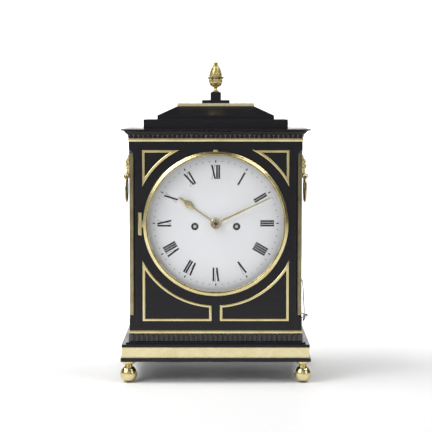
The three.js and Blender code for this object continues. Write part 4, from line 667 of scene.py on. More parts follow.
# %% [markdown]
# ## Reeding and arcade
# Above the plinth runs a band of upright reeds, and under the cornice an arcade of tiny round
# arches, both carved at the same pitch. One reed is a thin half column, and one arch is two half
# columns' width of a half ring. The unit is made once per side, and duplicated along it.

# %% Rows of carving
REED_PITCH = 7.1


def half_column_into(bm, radius, low, high, out, sides=8):
    """An upright half-round column on a face that looks along -Y at Y = 0, with domed ends."""
    column = bmesh.new()
    rise = min(radius * 0.4, (high - low) / 4)
    line = [(0, low), (radius * 0.7, low + rise * 0.3), (radius, low + rise), (radius, high - rise),
            (radius * 0.7, high - rise * 0.3), (0, high)]
    geometry = line_of(column, [(-r * MM, 0, h * MM) for r, h in line])
    bmesh.ops.spin(column, geom=geometry, axis=(0, 0, 1), cent=(0, 0, 0), steps=sides, angle=math.pi)
    bmesh.ops.remove_doubles(column, verts=column.verts, dist=1e-6)
    bmesh.ops.scale(column, vec=(1, out / radius, 1), verts=column.verts)
    return into(bm, column)


def row_round_case(unit, face_out, target):
    """Duplicates a unit drawn on Y = 0 along all four sides of the case."""
    mesh = bpy.data.meshes.new("unit")
    unit.to_mesh(mesh)
    count = 0
    for side in range(4):
        half, reach = ((HALF_WIDTH, HALF_DEPTH) if side % 2 == 0 else (HALF_DEPTH, HALF_WIDTH))
        number = round((2 * (half + face_out)) / REED_PITCH)
        pitch = 2 * (half + face_out) / number
        for i in range(number):
            shift = Vector(((i + 0.5 - number / 2) * pitch, -(reach + face_out), 0)) * MM
            row = bmesh.new()
            row.from_mesh(mesh)
            bmesh.ops.translate(row, vec=shift, verts=row.verts)
            bmesh.ops.rotate(row, cent=(0, 0, 0), verts=row.verts,
                             matrix=Matrix.Rotation(side * math.pi / 2, 3, "Z"))
            into(target, row)
            count += 1
    bpy.data.meshes.remove(mesh)
    return count


reeding = mitred([(-REBATE, PLINTH_TOP), (-0.25, PLINTH_TOP), (-0.25, REED_TOP), (-REBATE, REED_TOP),
                  (-REBATE, PLINTH_TOP)])
reed = half_column_into(bmesh.new(), REED_PITCH / 2 - 0.6, PLINTH_TOP + 0.2, REED_TOP - 0.3, 2.2)
reed_count = row_round_case(reed, -0.25, reeding)
piece("carved_reeding", reeding, "case", carved_ebony, ["reeded_moulding"])
print("reeds:", reed_count)

# %% [markdown]
# ## The cornice
# The cornice is a small cove that swells out to a square edge, so its line is an arc between two
# fillets. The arcade hangs below it, on a plain ground.

# %% Cornice
def arch_into(bm, radius, wide, low, spring):
    """A round arch of the arcade: a half ring on two short legs."""
    ring = bmesh.new()
    section = [(radius - wide / 2, 0), (radius - wide / 2, 0.9), (radius - wide / 6, 1.6),
               (radius + wide / 6, 1.6), (radius + wide / 2, 0.9), (radius + wide / 2, 0)]
    geometry = line_of(ring, [(r * MM, -out * MM, 0) for r, out in section])
    bmesh.ops.spin(ring, geom=geometry, axis=(0, -1, 0), cent=(0, 0, 0), steps=10, angle=math.pi)
    bmesh.ops.translate(ring, vec=(0, 0, spring * MM), verts=ring.verts)
    into(bm, ring)
    leg = half_column_into(bmesh.new(), wide / 2 + 0.2, low, spring + 0.4, 1.8, 6)
    bmesh.ops.translate(leg, vec=(radius * MM, 0, 0), verts=leg.verts)
    return into(bm, leg)


cornice_line = [(-REBATE, ARCADE_BOTTOM), (-0.1, ARCADE_BOTTOM), (-0.1, CORNICE_BOTTOM - 0.4),
                (1.6, CORNICE_BOTTOM - 0.4), (2.0, CORNICE_BOTTOM), (2.0, CORNICE_BOTTOM + 0.6),
                (3.4, CORNICE_BOTTOM + 0.9), (4.2, CORNICE_BOTTOM + 1.7), (5.0, CORNICE_BOTTOM + 3.2),
                (6.3, CORNICE_BOTTOM + 4.6), (8.0, CORNICE_BOTTOM + 5.4), (8.6, CORNICE_BOTTOM + 5.5),
                (9.6, CORNICE_BOTTOM + 5.6), (11, CORNICE_BOTTOM + 5.7), (11, ROOF_BOTTOM),
                (-60, ROOF_BOTTOM), (-60, CORNICE_BOTTOM), (-REBATE, CORNICE_BOTTOM),
                (-REBATE, ARCADE_BOTTOM)]
cornice_mesh = mitred(cornice_line)
arcade = bmesh.new()
arch = arch_into(bmesh.new(), REED_PITCH / 2 - 0.2, 1.4, ARCADE_BOTTOM + 0.2, CORNICE_BOTTOM - 3.2)
arch_count = row_round_case(arch, -0.1, arcade)
piece("carved_arcade", arcade, "case", arcade_ebony)
print("arches:", arch_count)
box_into(cornice_mesh, (-HALF_WIDTH + 59, -HALF_DEPTH + 59, CORNICE_BOTTOM),
         (HALF_WIDTH - 59, HALF_DEPTH - 59, ROOF_BOTTOM))
piece("carved_cornice", cornice_mesh, "case", ebonised, ["cornice"])

# %% [markdown]
# ## Spandrel frames
# Each corner of the front has an applied brass frame that follows the dial. An inset of one face
# would knot itself in the long sharp tips, so the bar is bridged between two closed outlines, the
# inner one drawn the bar's width further in. Then it is raised, and a round bevel on its top edges
# gives the half-round section with crisp mitres.

# %% Spandrel frames
FRAME_BAR, FRAME_THICKNESS = 4.25, 1.75
FRAME_ARC_RADIUS = 106.25 + 13.25


def frame_outline(side, upper, inset):
    radius, far = FRAME_ARC_RADIUS + inset, HALF_WIDTH - 19 - inset
    edge = (BODY_TOP - DIAL_Z - 11.75 if upper else DIAL_Z - BODY_BOTTOM - 13.25) - inset
    near = 5.75 + inset
    start = math.degrees(math.acos(far / radius))
    end = math.degrees(math.asin(edge / radius) if upper else math.acos(near / radius))
    points = arc(0, 0, radius, start, end, 28)
    points += [(far, edge)] if upper else [(near, edge), (far, edge)]
    up = 1 if upper else -1
    return [(side * x, up * z) for x, z in points]


for level, upper in (("upper", True), ("lower", False)):
    for side_name, side in (("left", -1), ("right", 1)):
        bm = bmesh.new()
        rims = []
        for inset in (0, FRAME_BAR):
            corners = [(x * MM, FRONT_Y * MM, (DIAL_Z + z) * MM)
                       for x, z in frame_outline(side, upper, inset)]
            rims += line_of(bm, corners)[len(corners):]
            bm.verts.ensure_lookup_table()
            rims.append(bm.edges.new((bm.verts[-1], bm.verts[-len(corners)])))
        bmesh.ops.bridge_loops(bm, edges=rims)
        raised = bmesh.ops.extrude_face_region(bm, geom=bm.faces[:])["geom"]
        lifted = [g for g in raised if isinstance(g, bmesh.types.BMVert)]
        bmesh.ops.translate(bm, vec=(0, -FRAME_THICKNESS * MM, 0), verts=lifted)
        crown = [e for e in bm.edges if e.calc_face_angle(0) > 1
                 and all(v.co.y < (FRONT_Y - FRAME_THICKNESS / 2) * MM for v in e.verts)]
        bmesh.ops.bevel(bm, geom=crown, offset=1.45 * MM, segments=5, profile=0.5, affect="EDGES",
                        clamp_overlap=True, material=-1)
        piece(f"{level}_{side_name}_half_round", bm, "case", case_brass,
              [f"{level}_{side_name}_frame"], smooth=30)

# %% [markdown]
# ## The bezel
# The bezel is a turned brass ring with a bead, a groove and a slope down to the glass. A small
# finger lip stands at the top, and the knuckle of its hinge at the left.

# %% Bezel
SIGHT_RADIUS, BEZEL_OUTER, GLASS_SEAT = 99, 106.25, 101.25
bezel_line = [
    (GLASS_SEAT, FRONT_Y), (BEZEL_OUTER, FRONT_Y), (BEZEL_OUTER, -91.0), (106.15, -91.8), (105.85, -92.4),
    (105.3, -92.9), (104.4, -93.5), (103.5, -94.1), (102.7, -94.7), (102.1, -95.15), (101.75, -95.4),
    (101.5, -95.5), (101.25, -95.35), (101.05, -95.0), (100.95, -93.5), (100.75, -93.2), (100.5, -93.35),
    (100.2, -93.7), (99.85, -93.65), (99.5, -93.1), (99.2, -92.4), (SIGHT_RADIUS, -91.9),
    (SIGHT_RADIUS, -91.0), (GLASS_SEAT, -91.0),
    (GLASS_SEAT, FRONT_Y)]
bezel_mesh = turned(bezel_line, "Y", (0, 0, DIAL_Z), 180)
HINGE_X, HINGE_Y, KNUCKLE = -109.5, -90.5, 5.2
turned([(1.25, -KNUCKLE), (2.25, -KNUCKLE), (2.25, KNUCKLE), (1.25, KNUCKLE), (1.25, -KNUCKLE)], "Z",
       (HINGE_X, HINGE_Y, DIAL_Z), 32, bezel_mesh)
lip = bmesh.new()
box_into(lip, (-3.4, -93, DIAL_Z + 104.25), (3.4, -89, DIAL_Z + 108.2))
box_into(lip, (HINGE_X + 1.9, HINGE_Y - 1, DIAL_Z - KNUCKLE), (-104.25, HINGE_Y + 1, DIAL_Z + KNUCKLE))
round_edges(lip, 0.5, 2)
into(bezel_mesh, lip)
hinge_bm = bmesh.new()
for low, high in ((-16.5, -KNUCKLE - 0.15), (KNUCKLE + 0.15, 16.5)):
    turned([(0, low), (2.25, low), (2.25, high), (0, high)], "Z", (HINGE_X, HINGE_Y, DIAL_Z), 32, hinge_bm)
turned([(0, -16.4), (1.1, -16.4), (1.1, 16.4), (0, 16.4)], "Z", (HINGE_X, HINGE_Y, DIAL_Z), 20, hinge_bm)
leaf = box_into(bmesh.new(), (HINGE_X - 3.6, FRONT_Y - 1.2, DIAL_Z - 16.5),
                (HINGE_X - 0.3, FRONT_Y, DIAL_Z + 16.5))
into(hinge_bm, round_edges(leaf, 0.3))
piece("bezel_hinge_leaf", hinge_bm, "case", case_brass, ["bezel_hinge"])
piece("turned_bezel", bezel_mesh, "bezel_door", case_brass, ["bezel"], smooth=28)

# %% [markdown]
# ## The glass
# The glass is a shallow dome, thin and closed, spun from its inner and outer lines.

# %% Bezel glass
GLASS_RIM_Y, GLASS_RISE, GLASS_THICKNESS = -90.7, 5.75, 1.5
dome = [(98 * i / 14, GLASS_RIM_Y - GLASS_RISE * (1 - (i / 14) ** 2)) for i in range(15)]
glass_line = [*dome, (100.6, GLASS_RIM_Y), (100.6, GLASS_RIM_Y + GLASS_THICKNESS),
              *[(r, y + GLASS_THICKNESS) for r, y in reversed(dome)]]
piece("domed_glass", turned(glass_line, "Y", (0, 0, DIAL_Z), 96), "bezel_door", clear_glass,
      ["bezel_glass"])

# %% [markdown]
# ## The dial
# The dial is a slightly domed plate with three holes. The plate is spun, and the holes are cut by
# short cylinders with a Boolean modifier, which is then made part of the mesh.

# %% Dial plate
DIAL_RADIUS, DIAL_CROWN_Y, DIAL_RISE, DIAL_THICKNESS = 100.75, -83, 5, 1.75
WINDING_X, WINDING_DROP, WINDING_RADIUS = 30.5, 4.5, 5.5


def dial_y(radius):
    return DIAL_CROWN_Y + DIAL_RISE * (radius / DIAL_RADIUS) ** 2


face = [(DIAL_RADIUS * i / 16, dial_y(DIAL_RADIUS * i / 16)) for i in range(17)]
dial_bm = turned([*face, *[(r, y + DIAL_THICKNESS) for r, y in reversed(face)]], "Y", (0, 0, DIAL_Z), 96)
for foot_x, foot_z in ((-50, 70), (50, 70), (-50, -60), (50, -60)):
    turned([(0, -79), (2, -79), (2, -58), (0, -58)], "Y", (foot_x, 0, DIAL_Z + foot_z), 16, dial_bm)
for back in (f for f in dial_bm.faces if f.normal.y > 0.2 or f.calc_center_median().y > -76 * MM):
    back.material_index = 1
dial_plate = piece("dial_plate", dial_bm, "case", [dial_paint, movement_brass], ["dial"],
                   smooth=40)


def cut_with(target, cutter_bm):
    """Cuts a shape out of a finished piece, and keeps the result as its mesh."""
    mesh = bpy.data.meshes.new("cutter")
    cutter_bm.to_mesh(mesh)
    cutter_bm.free()
    cutter = bpy.data.objects.new("cutter", mesh)
    bpy.context.scene.collection.objects.link(cutter)
    modifier = target.modifiers.new("cut", "BOOLEAN")
    modifier.operation, modifier.object, modifier.solver = "DIFFERENCE", cutter, "EXACT"
    bake_modifiers(target)
    bpy.data.objects.remove(cutter)


def bake_modifiers(target):
    """Replaces a piece's mesh by what its modifiers make of it."""
    evaluated = target.evaluated_get(bpy.context.evaluated_depsgraph_get())
    mesh = bpy.data.meshes.new_from_object(evaluated)
    target.modifiers.clear()
    target.data = mesh


holes = bmesh.new()
for x, z, radius in ((-WINDING_X, -WINDING_DROP, WINDING_RADIUS), (WINDING_X, -WINDING_DROP, WINDING_RADIUS),
                     (0, 0, 4.2)):
    turned([(0, -86), (radius, -86), (radius, -76), (0, -76)], "Y", (x, 0, DIAL_Z + z), 32, holes)
cut_with(dial_plate, holes)
print("dial_plate:", len(dial_plate.data.polygons), "faces after cutting")

# %% [markdown]
# ## Dark washers and the hands' square
# Through a winding hole one sees a dark ring with a bright square in it. The ring is a near-black
# washer round the end of the winding arbor, put where the gap behind the dial lies in shade: it is
# painted shade. The hands are held by a small dark square and a pin through it.

# %% Washers and square
PLATE_Y, ARBOR_CLEAR, SQUARE = -58, 3.3, 3.7
# Painted shade: a near-black disc behind each winding hole, where the gap between dial and plate lies in shade.
for side_name, side in (("left", -1), ("right", 1)):
    washer = turned([(ARBOR_CLEAR, PLATE_Y - 1.2), (9, PLATE_Y - 1.2), (9, PLATE_Y - 0.1),
                     (ARBOR_CLEAR, PLATE_Y - 0.1), (ARBOR_CLEAR, PLATE_Y - 1.2)], "Y",
                    (side * WINDING_X, 0, DIAL_Z - WINDING_DROP), 40)
    piece(f"{side_name}_shade_washer", washer, "case", blued_steel)
for body, side in (("strike_fusee", -1), ("going_fusee", 1)):
    low = (side * WINDING_X - SQUARE / 2, -82.6, DIAL_Z - WINDING_DROP - SQUARE / 2)
    square = box_into(bmesh.new(), low, (low[0] + SQUARE, -62, low[2] + SQUARE))
    piece(f"{body}_square", round_edges(square, 0.3), body, square_steel)
hands_square = box_into(bmesh.new(), (-2.1, -91.3, DIAL_Z - 2.1), (2.1, -90.55, DIAL_Z + 2.1), 30,
                        pivot=(0, 0, DIAL_Z))
turned([(0, -4.2), (0.5, -4.2), (0.5, 4.2), (0, 4.2)], "Z", (0, -91.5, DIAL_Z), 12, hands_square)
piece("hands_square", hands_square, "center_wheel", blued_steel)

# %% [markdown]
# ## The dial's printing
# The chapters are Roman numerals whose feet point to the middle, and sixty minute dots with a
# small lozenge at each five. A numeral is built of strokes, as a sign writer does it: thick
# uprights, one thick and one thin slant, and hair serifs. Each stroke is a small grid, so that it
# can follow the dome, and it lies a few hundredths above the paint, as ink does.

# %% Numerals and dots
NUMERAL_LOW, NUMERAL_HIGH = 65.2, 85.4
THICK, THIN, HAIR = 2.65, 0.5, 0.34
INK = 0.08


def stroke(bm, x0, z0, x1, z1, wide):
    """A straight stroke whose ends are level, drawn in the numeral's own plane."""
    made = bmesh.ops.create_grid(bm, x_segments=1, y_segments=6, size=0.5)["verts"]
    for v in made:
        share = v.co.y + 0.5
        v.co = Vector((x0 + (x1 - x0) * share + v.co.x * wide, 0, z0 + (z1 - z0) * share))
    return made


def letter(bm, kind, x):
    low, high = NUMERAL_LOW, NUMERAL_HIGH
    if kind == "I":
        stroke(bm, x, low, x, high, THICK)
        marks = [(x, THICK / 2 + 0.55)]
        for level in (low, high - HAIR):
            for where, half in marks:
                serif(bm, where - half, where + half, level)
        return
    half = 2.35
    tops = [(x - half, THICK / 2 + 0.6), (x + half, THIN / 2 + 0.9)]
    slant = math.hypot(2 * half, high - low) / (high - low)
    if kind == "V":
        stroke(bm, x + 0.1, low, x - half, high, THICK * slant)
        stroke(bm, x + 0.4, low, x + half, high, THIN * slant)
    else:
        stroke(bm, x + half, low, x - half, high, THICK * slant)
        stroke(bm, x - half, low, x + half, high, THIN * slant)
        for where, wide in ((x + half, THICK / 2 + 0.6), (x - half, THIN / 2 + 0.9)):
            serif(bm, where - wide, where + wide, low)
    for where, wide in tops:
        serif(bm, where - wide, where + wide, high - HAIR)


def serif(bm, left, right, level):
    made = bmesh.ops.create_grid(bm, x_segments=4, y_segments=1, size=0.5)["verts"]
    for v in made:
        v.co = Vector((left + (right - left) * (v.co.x + 0.5), 0, level + HAIR * (v.co.y + 0.5)))


WIDTH_OF = {"I": 3.25, "V": 6.6, "X": 6.9}
CHAPTERS = ["XII", "I", "II", "III", "IIII", "V", "VI", "VII", "VIII", "IX", "X", "XI"]
printing = bmesh.new()
for hour, text in enumerate(CHAPTERS):
    numeral = bmesh.new()
    width = sum(WIDTH_OF[c] for c in text)
    x = -width / 2
    for kind in text:
        letter(numeral, kind, x + WIDTH_OF[kind] / 2)
        x += WIDTH_OF[kind]
    bmesh.ops.rotate(numeral, cent=(0, 0, 0), verts=numeral.verts,
                     matrix=Matrix.Rotation(math.radians(30 * hour), 3, "Y"))
    mesh = bpy.data.meshes.new("numeral")
    numeral.to_mesh(mesh)
    numeral.free()
    printing.from_mesh(mesh)
    bpy.data.meshes.remove(mesh)

DOT_RADIUS = 90.6
for minute in range(60):
    turn = Matrix.Rotation(math.radians(6 * minute), 4, "Y")
    stand = Matrix.Rotation(math.pi / 2, 4, "X")
    five = minute % 5 == 0
    made = bmesh.ops.create_circle(printing, segments=4 if five else 10, cap_ends=True,
                                   radius=1.35 if five else 0.7)["verts"]
    bmesh.ops.transform(printing, verts=made, matrix=stand)
    if five:
        bmesh.ops.scale(printing, vec=(0.85, 1, 1.9), verts=made)
    bmesh.ops.transform(printing, verts=made, matrix=turn @ Matrix.Translation((0, 0, DOT_RADIUS)))

for v in printing.verts:
    y = dial_y(math.hypot(v.co.x, v.co.z)) - INK
    v.co = Vector((v.co.x, y, DIAL_Z + v.co.z)) * MM
for f in printing.faces:
    f.normal_update()
    if f.normal.y > 0:
        f.normal_flip()
piece("dial_printing", printing, "case", dial_ink, outward=False)

# %% [markdown]
# ## The hands
# Both hands are filed from thin brass. The outline is drawn once as one face, then raised to its
# thickness, and its edges are broken with a bevel. The hour hand has a pear-shaped head behind a
# leaf point, and the minute hand is a slim taper.

# %% Hands
HAND_THICKNESS = 1


def hand_into(bm, half_outline, y, angle):
    """A hand from its right half outline as (x, z), closed by its mirror."""
    hand = bmesh.new()
    outline = half_outline + [(-x, z) for x, z in reversed(half_outline) if x > 0.01]
    face = hand.faces.new([hand.verts.new((x * MM, 0, z * MM)) for x, z in outline])
    raised = bmesh.ops.extrude_face_region(hand, geom=[face])["geom"]
    lifted = [g for g in raised if isinstance(g, bmesh.types.BMVert)]
    bmesh.ops.translate(hand, vec=(0, HAND_THICKNESS * MM, 0), verts=lifted)
    rims = [e for e in hand.edges if e.calc_face_angle(0) > 1 and abs(e.verts[0].co.y) < 1e-6
            and abs(e.verts[1].co.y) < 1e-6]
    bmesh.ops.bevel(hand, geom=rims, offset=0.3 * MM, segments=2, profile=0.5, affect="EDGES",
                    clamp_overlap=True, material=-1)
    bmesh.ops.rotate(hand, cent=(0, 0, 0), verts=hand.verts,
                     matrix=Matrix.Rotation(math.radians(angle), 3, "Y"))
    bmesh.ops.translate(hand, vec=(0, y * MM, DIAL_Z * MM), verts=hand.verts)
    return into(bm, hand)


HOUR_ANGLE, HOUR_Y = 305.4, -86
MINUTE_ANGLE, MINUTE_Y = 64.5, -89
hour_outline = [(1.3, 6), (1.15, 39.5), (1.9, 41.2), (3.6, 42.8), (5.0, 45.2), (5.5, 48), (5.1, 50.6),
                (3.9, 53.2), (2.6, 55.2), (1.7, 56.8), (1.5, 57.8), (2.3, 58.8), (2.6, 59.8), (2.1, 61.6),
                (1.1, 64.6), (0, 67.25)]
hour_mesh = turned([(3.9, HOUR_Y - 0.25), (7.4, HOUR_Y - 0.25), (7.75, HOUR_Y), (7.75, HOUR_Y + 1),
                    (3.9, HOUR_Y + 1), (3.9, HOUR_Y - 0.25)], "Y", (0, 0, DIAL_Z), 64)
hand_into(hour_mesh, hour_outline, HOUR_Y, HOUR_ANGLE)
piece("hour_hand_filed", hour_mesh, "hour_hand", hand_brass, ["hour_hand"], smooth=30)

minute_outline = [(1.3, 5), (1.25, 9), (1.9, 13), (2.0, 15.5), (1.5, 24), (1.15, 55), (0.85, 80), (0.7, 88),
                  (0, 91)]
minute_mesh = turned([(2.5, MINUTE_Y - 0.9), (3.4, MINUTE_Y - 1.1), (4.1, MINUTE_Y - 0.9), (4.3, MINUTE_Y - 0.2),
                      (4.4, MINUTE_Y + 0.55), (5.3, MINUTE_Y + 0.55), (5.5, MINUTE_Y - 0.1),
                      (6.2, MINUTE_Y - 0.45), (7.1, MINUTE_Y - 0.4), (7.65, MINUTE_Y), (7.75, MINUTE_Y + 0.4),
                      (7.75, MINUTE_Y + 1), (2.5, MINUTE_Y + 1), (2.5, MINUTE_Y - 0.9)],
                     "Y", (0, 0, DIAL_Z), 64)
hand_into(minute_mesh, minute_outline, MINUTE_Y, MINUTE_ANGLE)
piece("minute_hand_filed", minute_mesh, "minute_hand", hand_brass, ["minute_hand"], smooth=30)

# %% [markdown]
# ## The pineapple finial
# The finial is a casting: a trumpet foot, a cup of leaves whose tips turn out, a scaly fruit, and
# a tuft. The foot, cup and core are turned. A leaf is a grid laid on the cup's line, and given a
# thickness; a scale is a small flattened ball. Both are repeated round the axis.

# %% Finial core and scales
FRUIT_LINE = [(20.5, 9.0), (23, 9.5), (25.5, 9.5), (28, 9.1), (30.3, 8.6), (33, 7.8), (35.1, 6.9),
              (37.6, 5.5), (39.9, 4.0), (41.4, 3.1), (42.4, 2.6)]
finial = turned([(0, 0), (5.6, 0), (5.7, 0.7), (4.9, 1.3), (3.7, 2.2), (2.8, 3.6), (2.5, 5.2), (2.7, 6.4),
                 (3.3, 7.0), (3.6, 7.6), (3.3, 8.2), (2.7, 8.8), (4.6, 9.7), (6.9, 11.4), (8.0, 13.6),
                 (8.2, 16), (7.7, 18), (7.4, 19.4), (7.9, 20.3), *[(r - 0.5, z) for z, r in FRUIT_LINE],
                 (2.4, 41.9), (3.3, 42.7), (3.9, 43.4), (4.2, 44.9), (2, 44.6), (0, 44.5)],
                "Z", (0, 0, FINIAL_BOTTOM), 48)


def fruit_radius(z):
    for (za, ra), (zb, rb) in zip(FRUIT_LINE, FRUIT_LINE[1:]):
        if z <= zb:
            return ra + (rb - ra) * max(0, z - za) / (zb - za)
    return FRUIT_LINE[-1][1]


SCALE_ROWS = 9
for row in range(SCALE_ROWS):
    z = 22.6 + 18.2 * (row / (SCALE_ROWS - 1)) ** 0.95
    radius = fruit_radius(z)
    slope = (fruit_radius(z + 0.5) - fruit_radius(z - 0.5))
    count = max(6, round(math.tau * radius / 4.6))
    wide = math.tau * radius / count
    for i in range(count):
        made = bmesh.ops.create_icosphere(finial, subdivisions=1, radius=1)["verts"]
        bmesh.ops.scale(finial, vec=Vector((1.35, wide * 0.4, 1.1 if radius > 4 else 0.85)) * MM, verts=made)
        lean = Matrix.Rotation(-math.atan(slope) + 0.25, 4, "Y")
        turn = Matrix.Rotation(math.tau * (i + 0.5 * (row % 2)) / count, 4, "Z")
        place = Matrix.Translation(Vector((radius - 0.45, 0, FINIAL_BOTTOM + z)) * MM)
        bmesh.ops.transform(finial, verts=made, matrix=turn @ place @ lean)

# %% Finial leaves and tuft
def leaf_into(bm, line, half_width, turn, thickness, rib=0.35):
    """A leaf over (radius, height) points: it narrows to its tip and has a raised rib."""
    leaf = bmesh.new()
    steps = len(line) - 1
    grid = bmesh.ops.create_grid(leaf, x_segments=6, y_segments=steps, size=0.5)["verts"]
    for v in grid:
        across, share = v.co.x * 2, v.co.y + 0.5
        k = min(int(share * steps + 1e-6), steps - 1)
        part = share * steps - k
        radius = line[k][0] + (line[k + 1][0] - line[k][0]) * part
        height = line[k][1] + (line[k + 1][1] - line[k][1]) * part
        half = half_width * (math.sin(math.pi * min(1, 0.28 + 0.72 * share)) ** 0.6 + 0.02)
        angle = across * half / max(radius, 1)
        radius += rib * (1 - abs(across)) - 0.5 * rib
        v.co = Vector((radius * math.cos(angle), radius * math.sin(angle), height)) * MM
    bmesh.ops.recalc_face_normals(leaf, faces=leaf.faces)
    bmesh.ops.solidify(leaf, geom=leaf.faces[:], thickness=thickness * MM)
    bmesh.ops.rotate(leaf, cent=(0, 0, 0), verts=leaf.verts, matrix=Matrix.Rotation(turn, 3, "Z"))
    bmesh.ops.translate(leaf, vec=(0, 0, FINIAL_BOTTOM * MM), verts=leaf.verts)
    return into(bm, leaf)


LEAVES = 6
OUTER_LEAF = [(3.1, 8.6), (5.8, 9.3), (8.8, 10.9), (10.4, 13.4), (10.9, 16.4), (10.7, 18.8), (11.3, 20.4),
              (12.4, 21.6), (12.9, 21.2)]
for i in range(LEAVES):
    leaf_into(finial, OUTER_LEAF, 5.8, math.tau * i / LEAVES + math.pi / 2, 0.6, 0.9)
    leaf_into(finial, [(r - 1.1, z - 1.4) for r, z in OUTER_LEAF[:6]], 3.4,
              math.tau * (i + 0.5) / LEAVES + math.pi / 2, 0.4, 0.3)
for i in range(7):
    leaf_into(finial, [(1.2, 42.6), (1.5, 43.8), (2.2, 44.2), (3.2, 44.7), (4.0, 44.85)], 1.3,
              math.tau * i / 7, 0.35, 0.3)
    leaf_into(finial, [(0.5, 42.6), (0.8, 43.8), (1.6, 44.6), (2.5, 44.9)], 1.1,
              math.tau * (i + 0.5) / 7, 0.3, 0.25)
piece("pineapple_casting", finial, "case", cast_brass, ["pineapple_finial"], smooth=50)

# %% [markdown]
# ## Lion masks
# The ring handles hang from cast lion masks. A cast face has no hard joins, so it is modelled the
# way a modeller builds up wax: balls and curved locks are pressed together, a voxel Remesh melts
# them into one skin, and a Smooth modifier settles it. The mask is drawn flat, with its face
# towards +Z, and then stood against the case's right side; the left one is its mirror.

# %% Lion mask
MASK_Z, RING_PIVOT_X, RING_PIVOT_Z = 316.5, 135.5, 298


def ball_into(bm, x, y, z, rx, ry, rz, turn=0.0):
    """A stretched ball at a place on the mask: x across, y up, z out of the case."""
    made = bmesh.ops.create_icosphere(bm, subdivisions=2, radius=1)["verts"]
    matrix = (Matrix.Translation(Vector((x, y, z)) * MM) @ Matrix.Rotation(math.radians(turn), 4, "Z")
              @ Matrix.Diagonal((*(Vector((rx, ry, rz)) * MM), 1)))
    bmesh.ops.transform(bm, matrix=matrix, verts=made)


def lock_into(bm, angle, start, end, out, size, curl):
    """A lock of the mane: a tapering tube that curls as it runs outwards."""
    points, radii = [], []
    for i in range(7):
        share = i / 6
        turn = math.radians(angle + curl * share ** 1.5)
        reach = start + (end - start) * share
        points.append(Vector((reach * math.cos(turn), reach * math.sin(turn) * 1.08,
                              out * (1 - share ** 2) + 1.2)) * MM)
        radii.append(size * (1 - 0.55 * share ** 1.3) * MM)
    tube_into(bm, points, radii, 8)


mask = bmesh.new()
ball_into(mask, 0, 0.3, 0.4, 15.8, 17.6, 2.5)
for i in range(14):
    angle = 90 + 360 * (i + 0.5) / 14
    lock_into(mask, angle, 9, 17.3 if math.sin(math.radians(angle)) > -0.4 else 15.6, 2.6, 2.9, 20)
for i in range(12):
    lock_into(mask, 105 + 360 * i / 12, 7, 14.0, 4.6, 2.3, -22)
for side in (-1, 1):
    ball_into(mask, side * 8.0, 10.6, 4.6, 2.5, 3.4, 1.2, side * -32)
    ball_into(mask, side * 4.6, 6.6, 7.2, 4.6, 1.5, 1.9, side * 16)
    ball_into(mask, side * 4.4, 3.9, 6.9, 1.8, 1.25, 1.5)
    ball_into(mask, side * 7.0, -0.4, 5.0, 3.4, 4.6, 3.2)
    ball_into(mask, side * 3.0, -5.6, 8.2, 3.3, 2.6, 2.9)
    ball_into(mask, side * 2.3, 10.2, 5.6, 3.0, 3.8, 1.5, side * -12)
    lock_into(mask, 270 + side * 14, 8.5, 14.6, 4.0, 2.0, side * 8)
ball_into(mask, 0, 3, 4.6, 9.0, 11.0, 4.2)
ball_into(mask, 0, 2.4, 8.2, 2.1, 6.4, 2.4)
ball_into(mask, 0, -2.6, 10.2, 2.7, 1.7, 1.7)
ball_into(mask, 0, -9.0, 5.6, 4.2, 3.2, 3.4)
mask_bm = mask
for v in mask_bm.verts:
    v.co.z = max(v.co.z, 0)
stand_up = Matrix.Translation(Vector((HALF_WIDTH, 0, MASK_Z)) * MM) @ Matrix(
    ((0, 0, 1, 0), (1, 0, 0, 0), (0, 1, 0, 0), (0, 0, 0, 1)))
bmesh.ops.transform(mask_bm, matrix=stand_up, verts=mask_bm.verts)
turned([(2.6, -4), (4.3, -4), (4.6, -3), (4.6, 3), (4.3, 4), (2.6, 4), (2.6, -4)], "Y",
       (RING_PIVOT_X, 0, RING_PIVOT_Z + 0.2), 32, mask_bm)
box_into(mask_bm, (HALF_WIDTH, -3.6, RING_PIVOT_Z + 3.4), (RING_PIVOT_X, 3.6, RING_PIVOT_Z + 9))
right_mask = piece("right_lion_casting", mask_bm, "case", cast_brass, ["right_lion_mask"])
melt = right_mask.modifiers.new("melt", "REMESH")
melt.mode, melt.voxel_size, melt.use_smooth_shade = "VOXEL", 0.42 * MM, True
settle = right_mask.modifiers.new("settle", "SMOOTH")
settle.factor, settle.iterations = 0.5, 3
bake_modifiers(right_mask)
right_mask.data.materials.clear()
right_mask.data.materials.append(cast_brass)
mirrored = bmesh.new()
mirrored.from_mesh(right_mask.data)
bmesh.ops.scale(mirrored, vec=(-1, 1, 1), verts=mirrored.verts)
bmesh.ops.reverse_faces(mirrored, faces=mirrored.faces)
left_mask = piece("left_lion_casting", mirrored, "case", cast_brass, ["left_lion_mask"],
                  smooth=180, outward=False)
print("lion mask:", len(right_mask.data.polygons), "faces")

# %% [markdown]
# ## Ring handles
# Each handle is a plain round ring that hangs from the lion's mouth.

# %% Rings
RING_RADIUS, RING_WIRE = 19.125, 1.875
for side_name, side in (("left", -1), ("right", 1)):
    ring_mesh = ring_into(bmesh.new(), RING_RADIUS, RING_WIRE,
                          (side * RING_PIVOT_X, 0, RING_PIVOT_Z - RING_RADIUS), 90, "Y", 96, 16)
    piece(f"{side_name}_ring", ring_mesh, f"{side_name}_ring", hand_brass,
          [f"{side_name}_ring_handle"])

# %% [markdown]
# ## Sound frets
# The sides let the bell be heard through pierced brass. The usual pattern is fish scale: rows of
# half rings, each row shifted by half a scale, inside a plain border.

# %% Frets
FRET_TOP, FRET_HALF, FRET_HEIGHT, FRET_THICKNESS = 248, 42, 94, 1.5
SCALE_ACROSS = 12.6


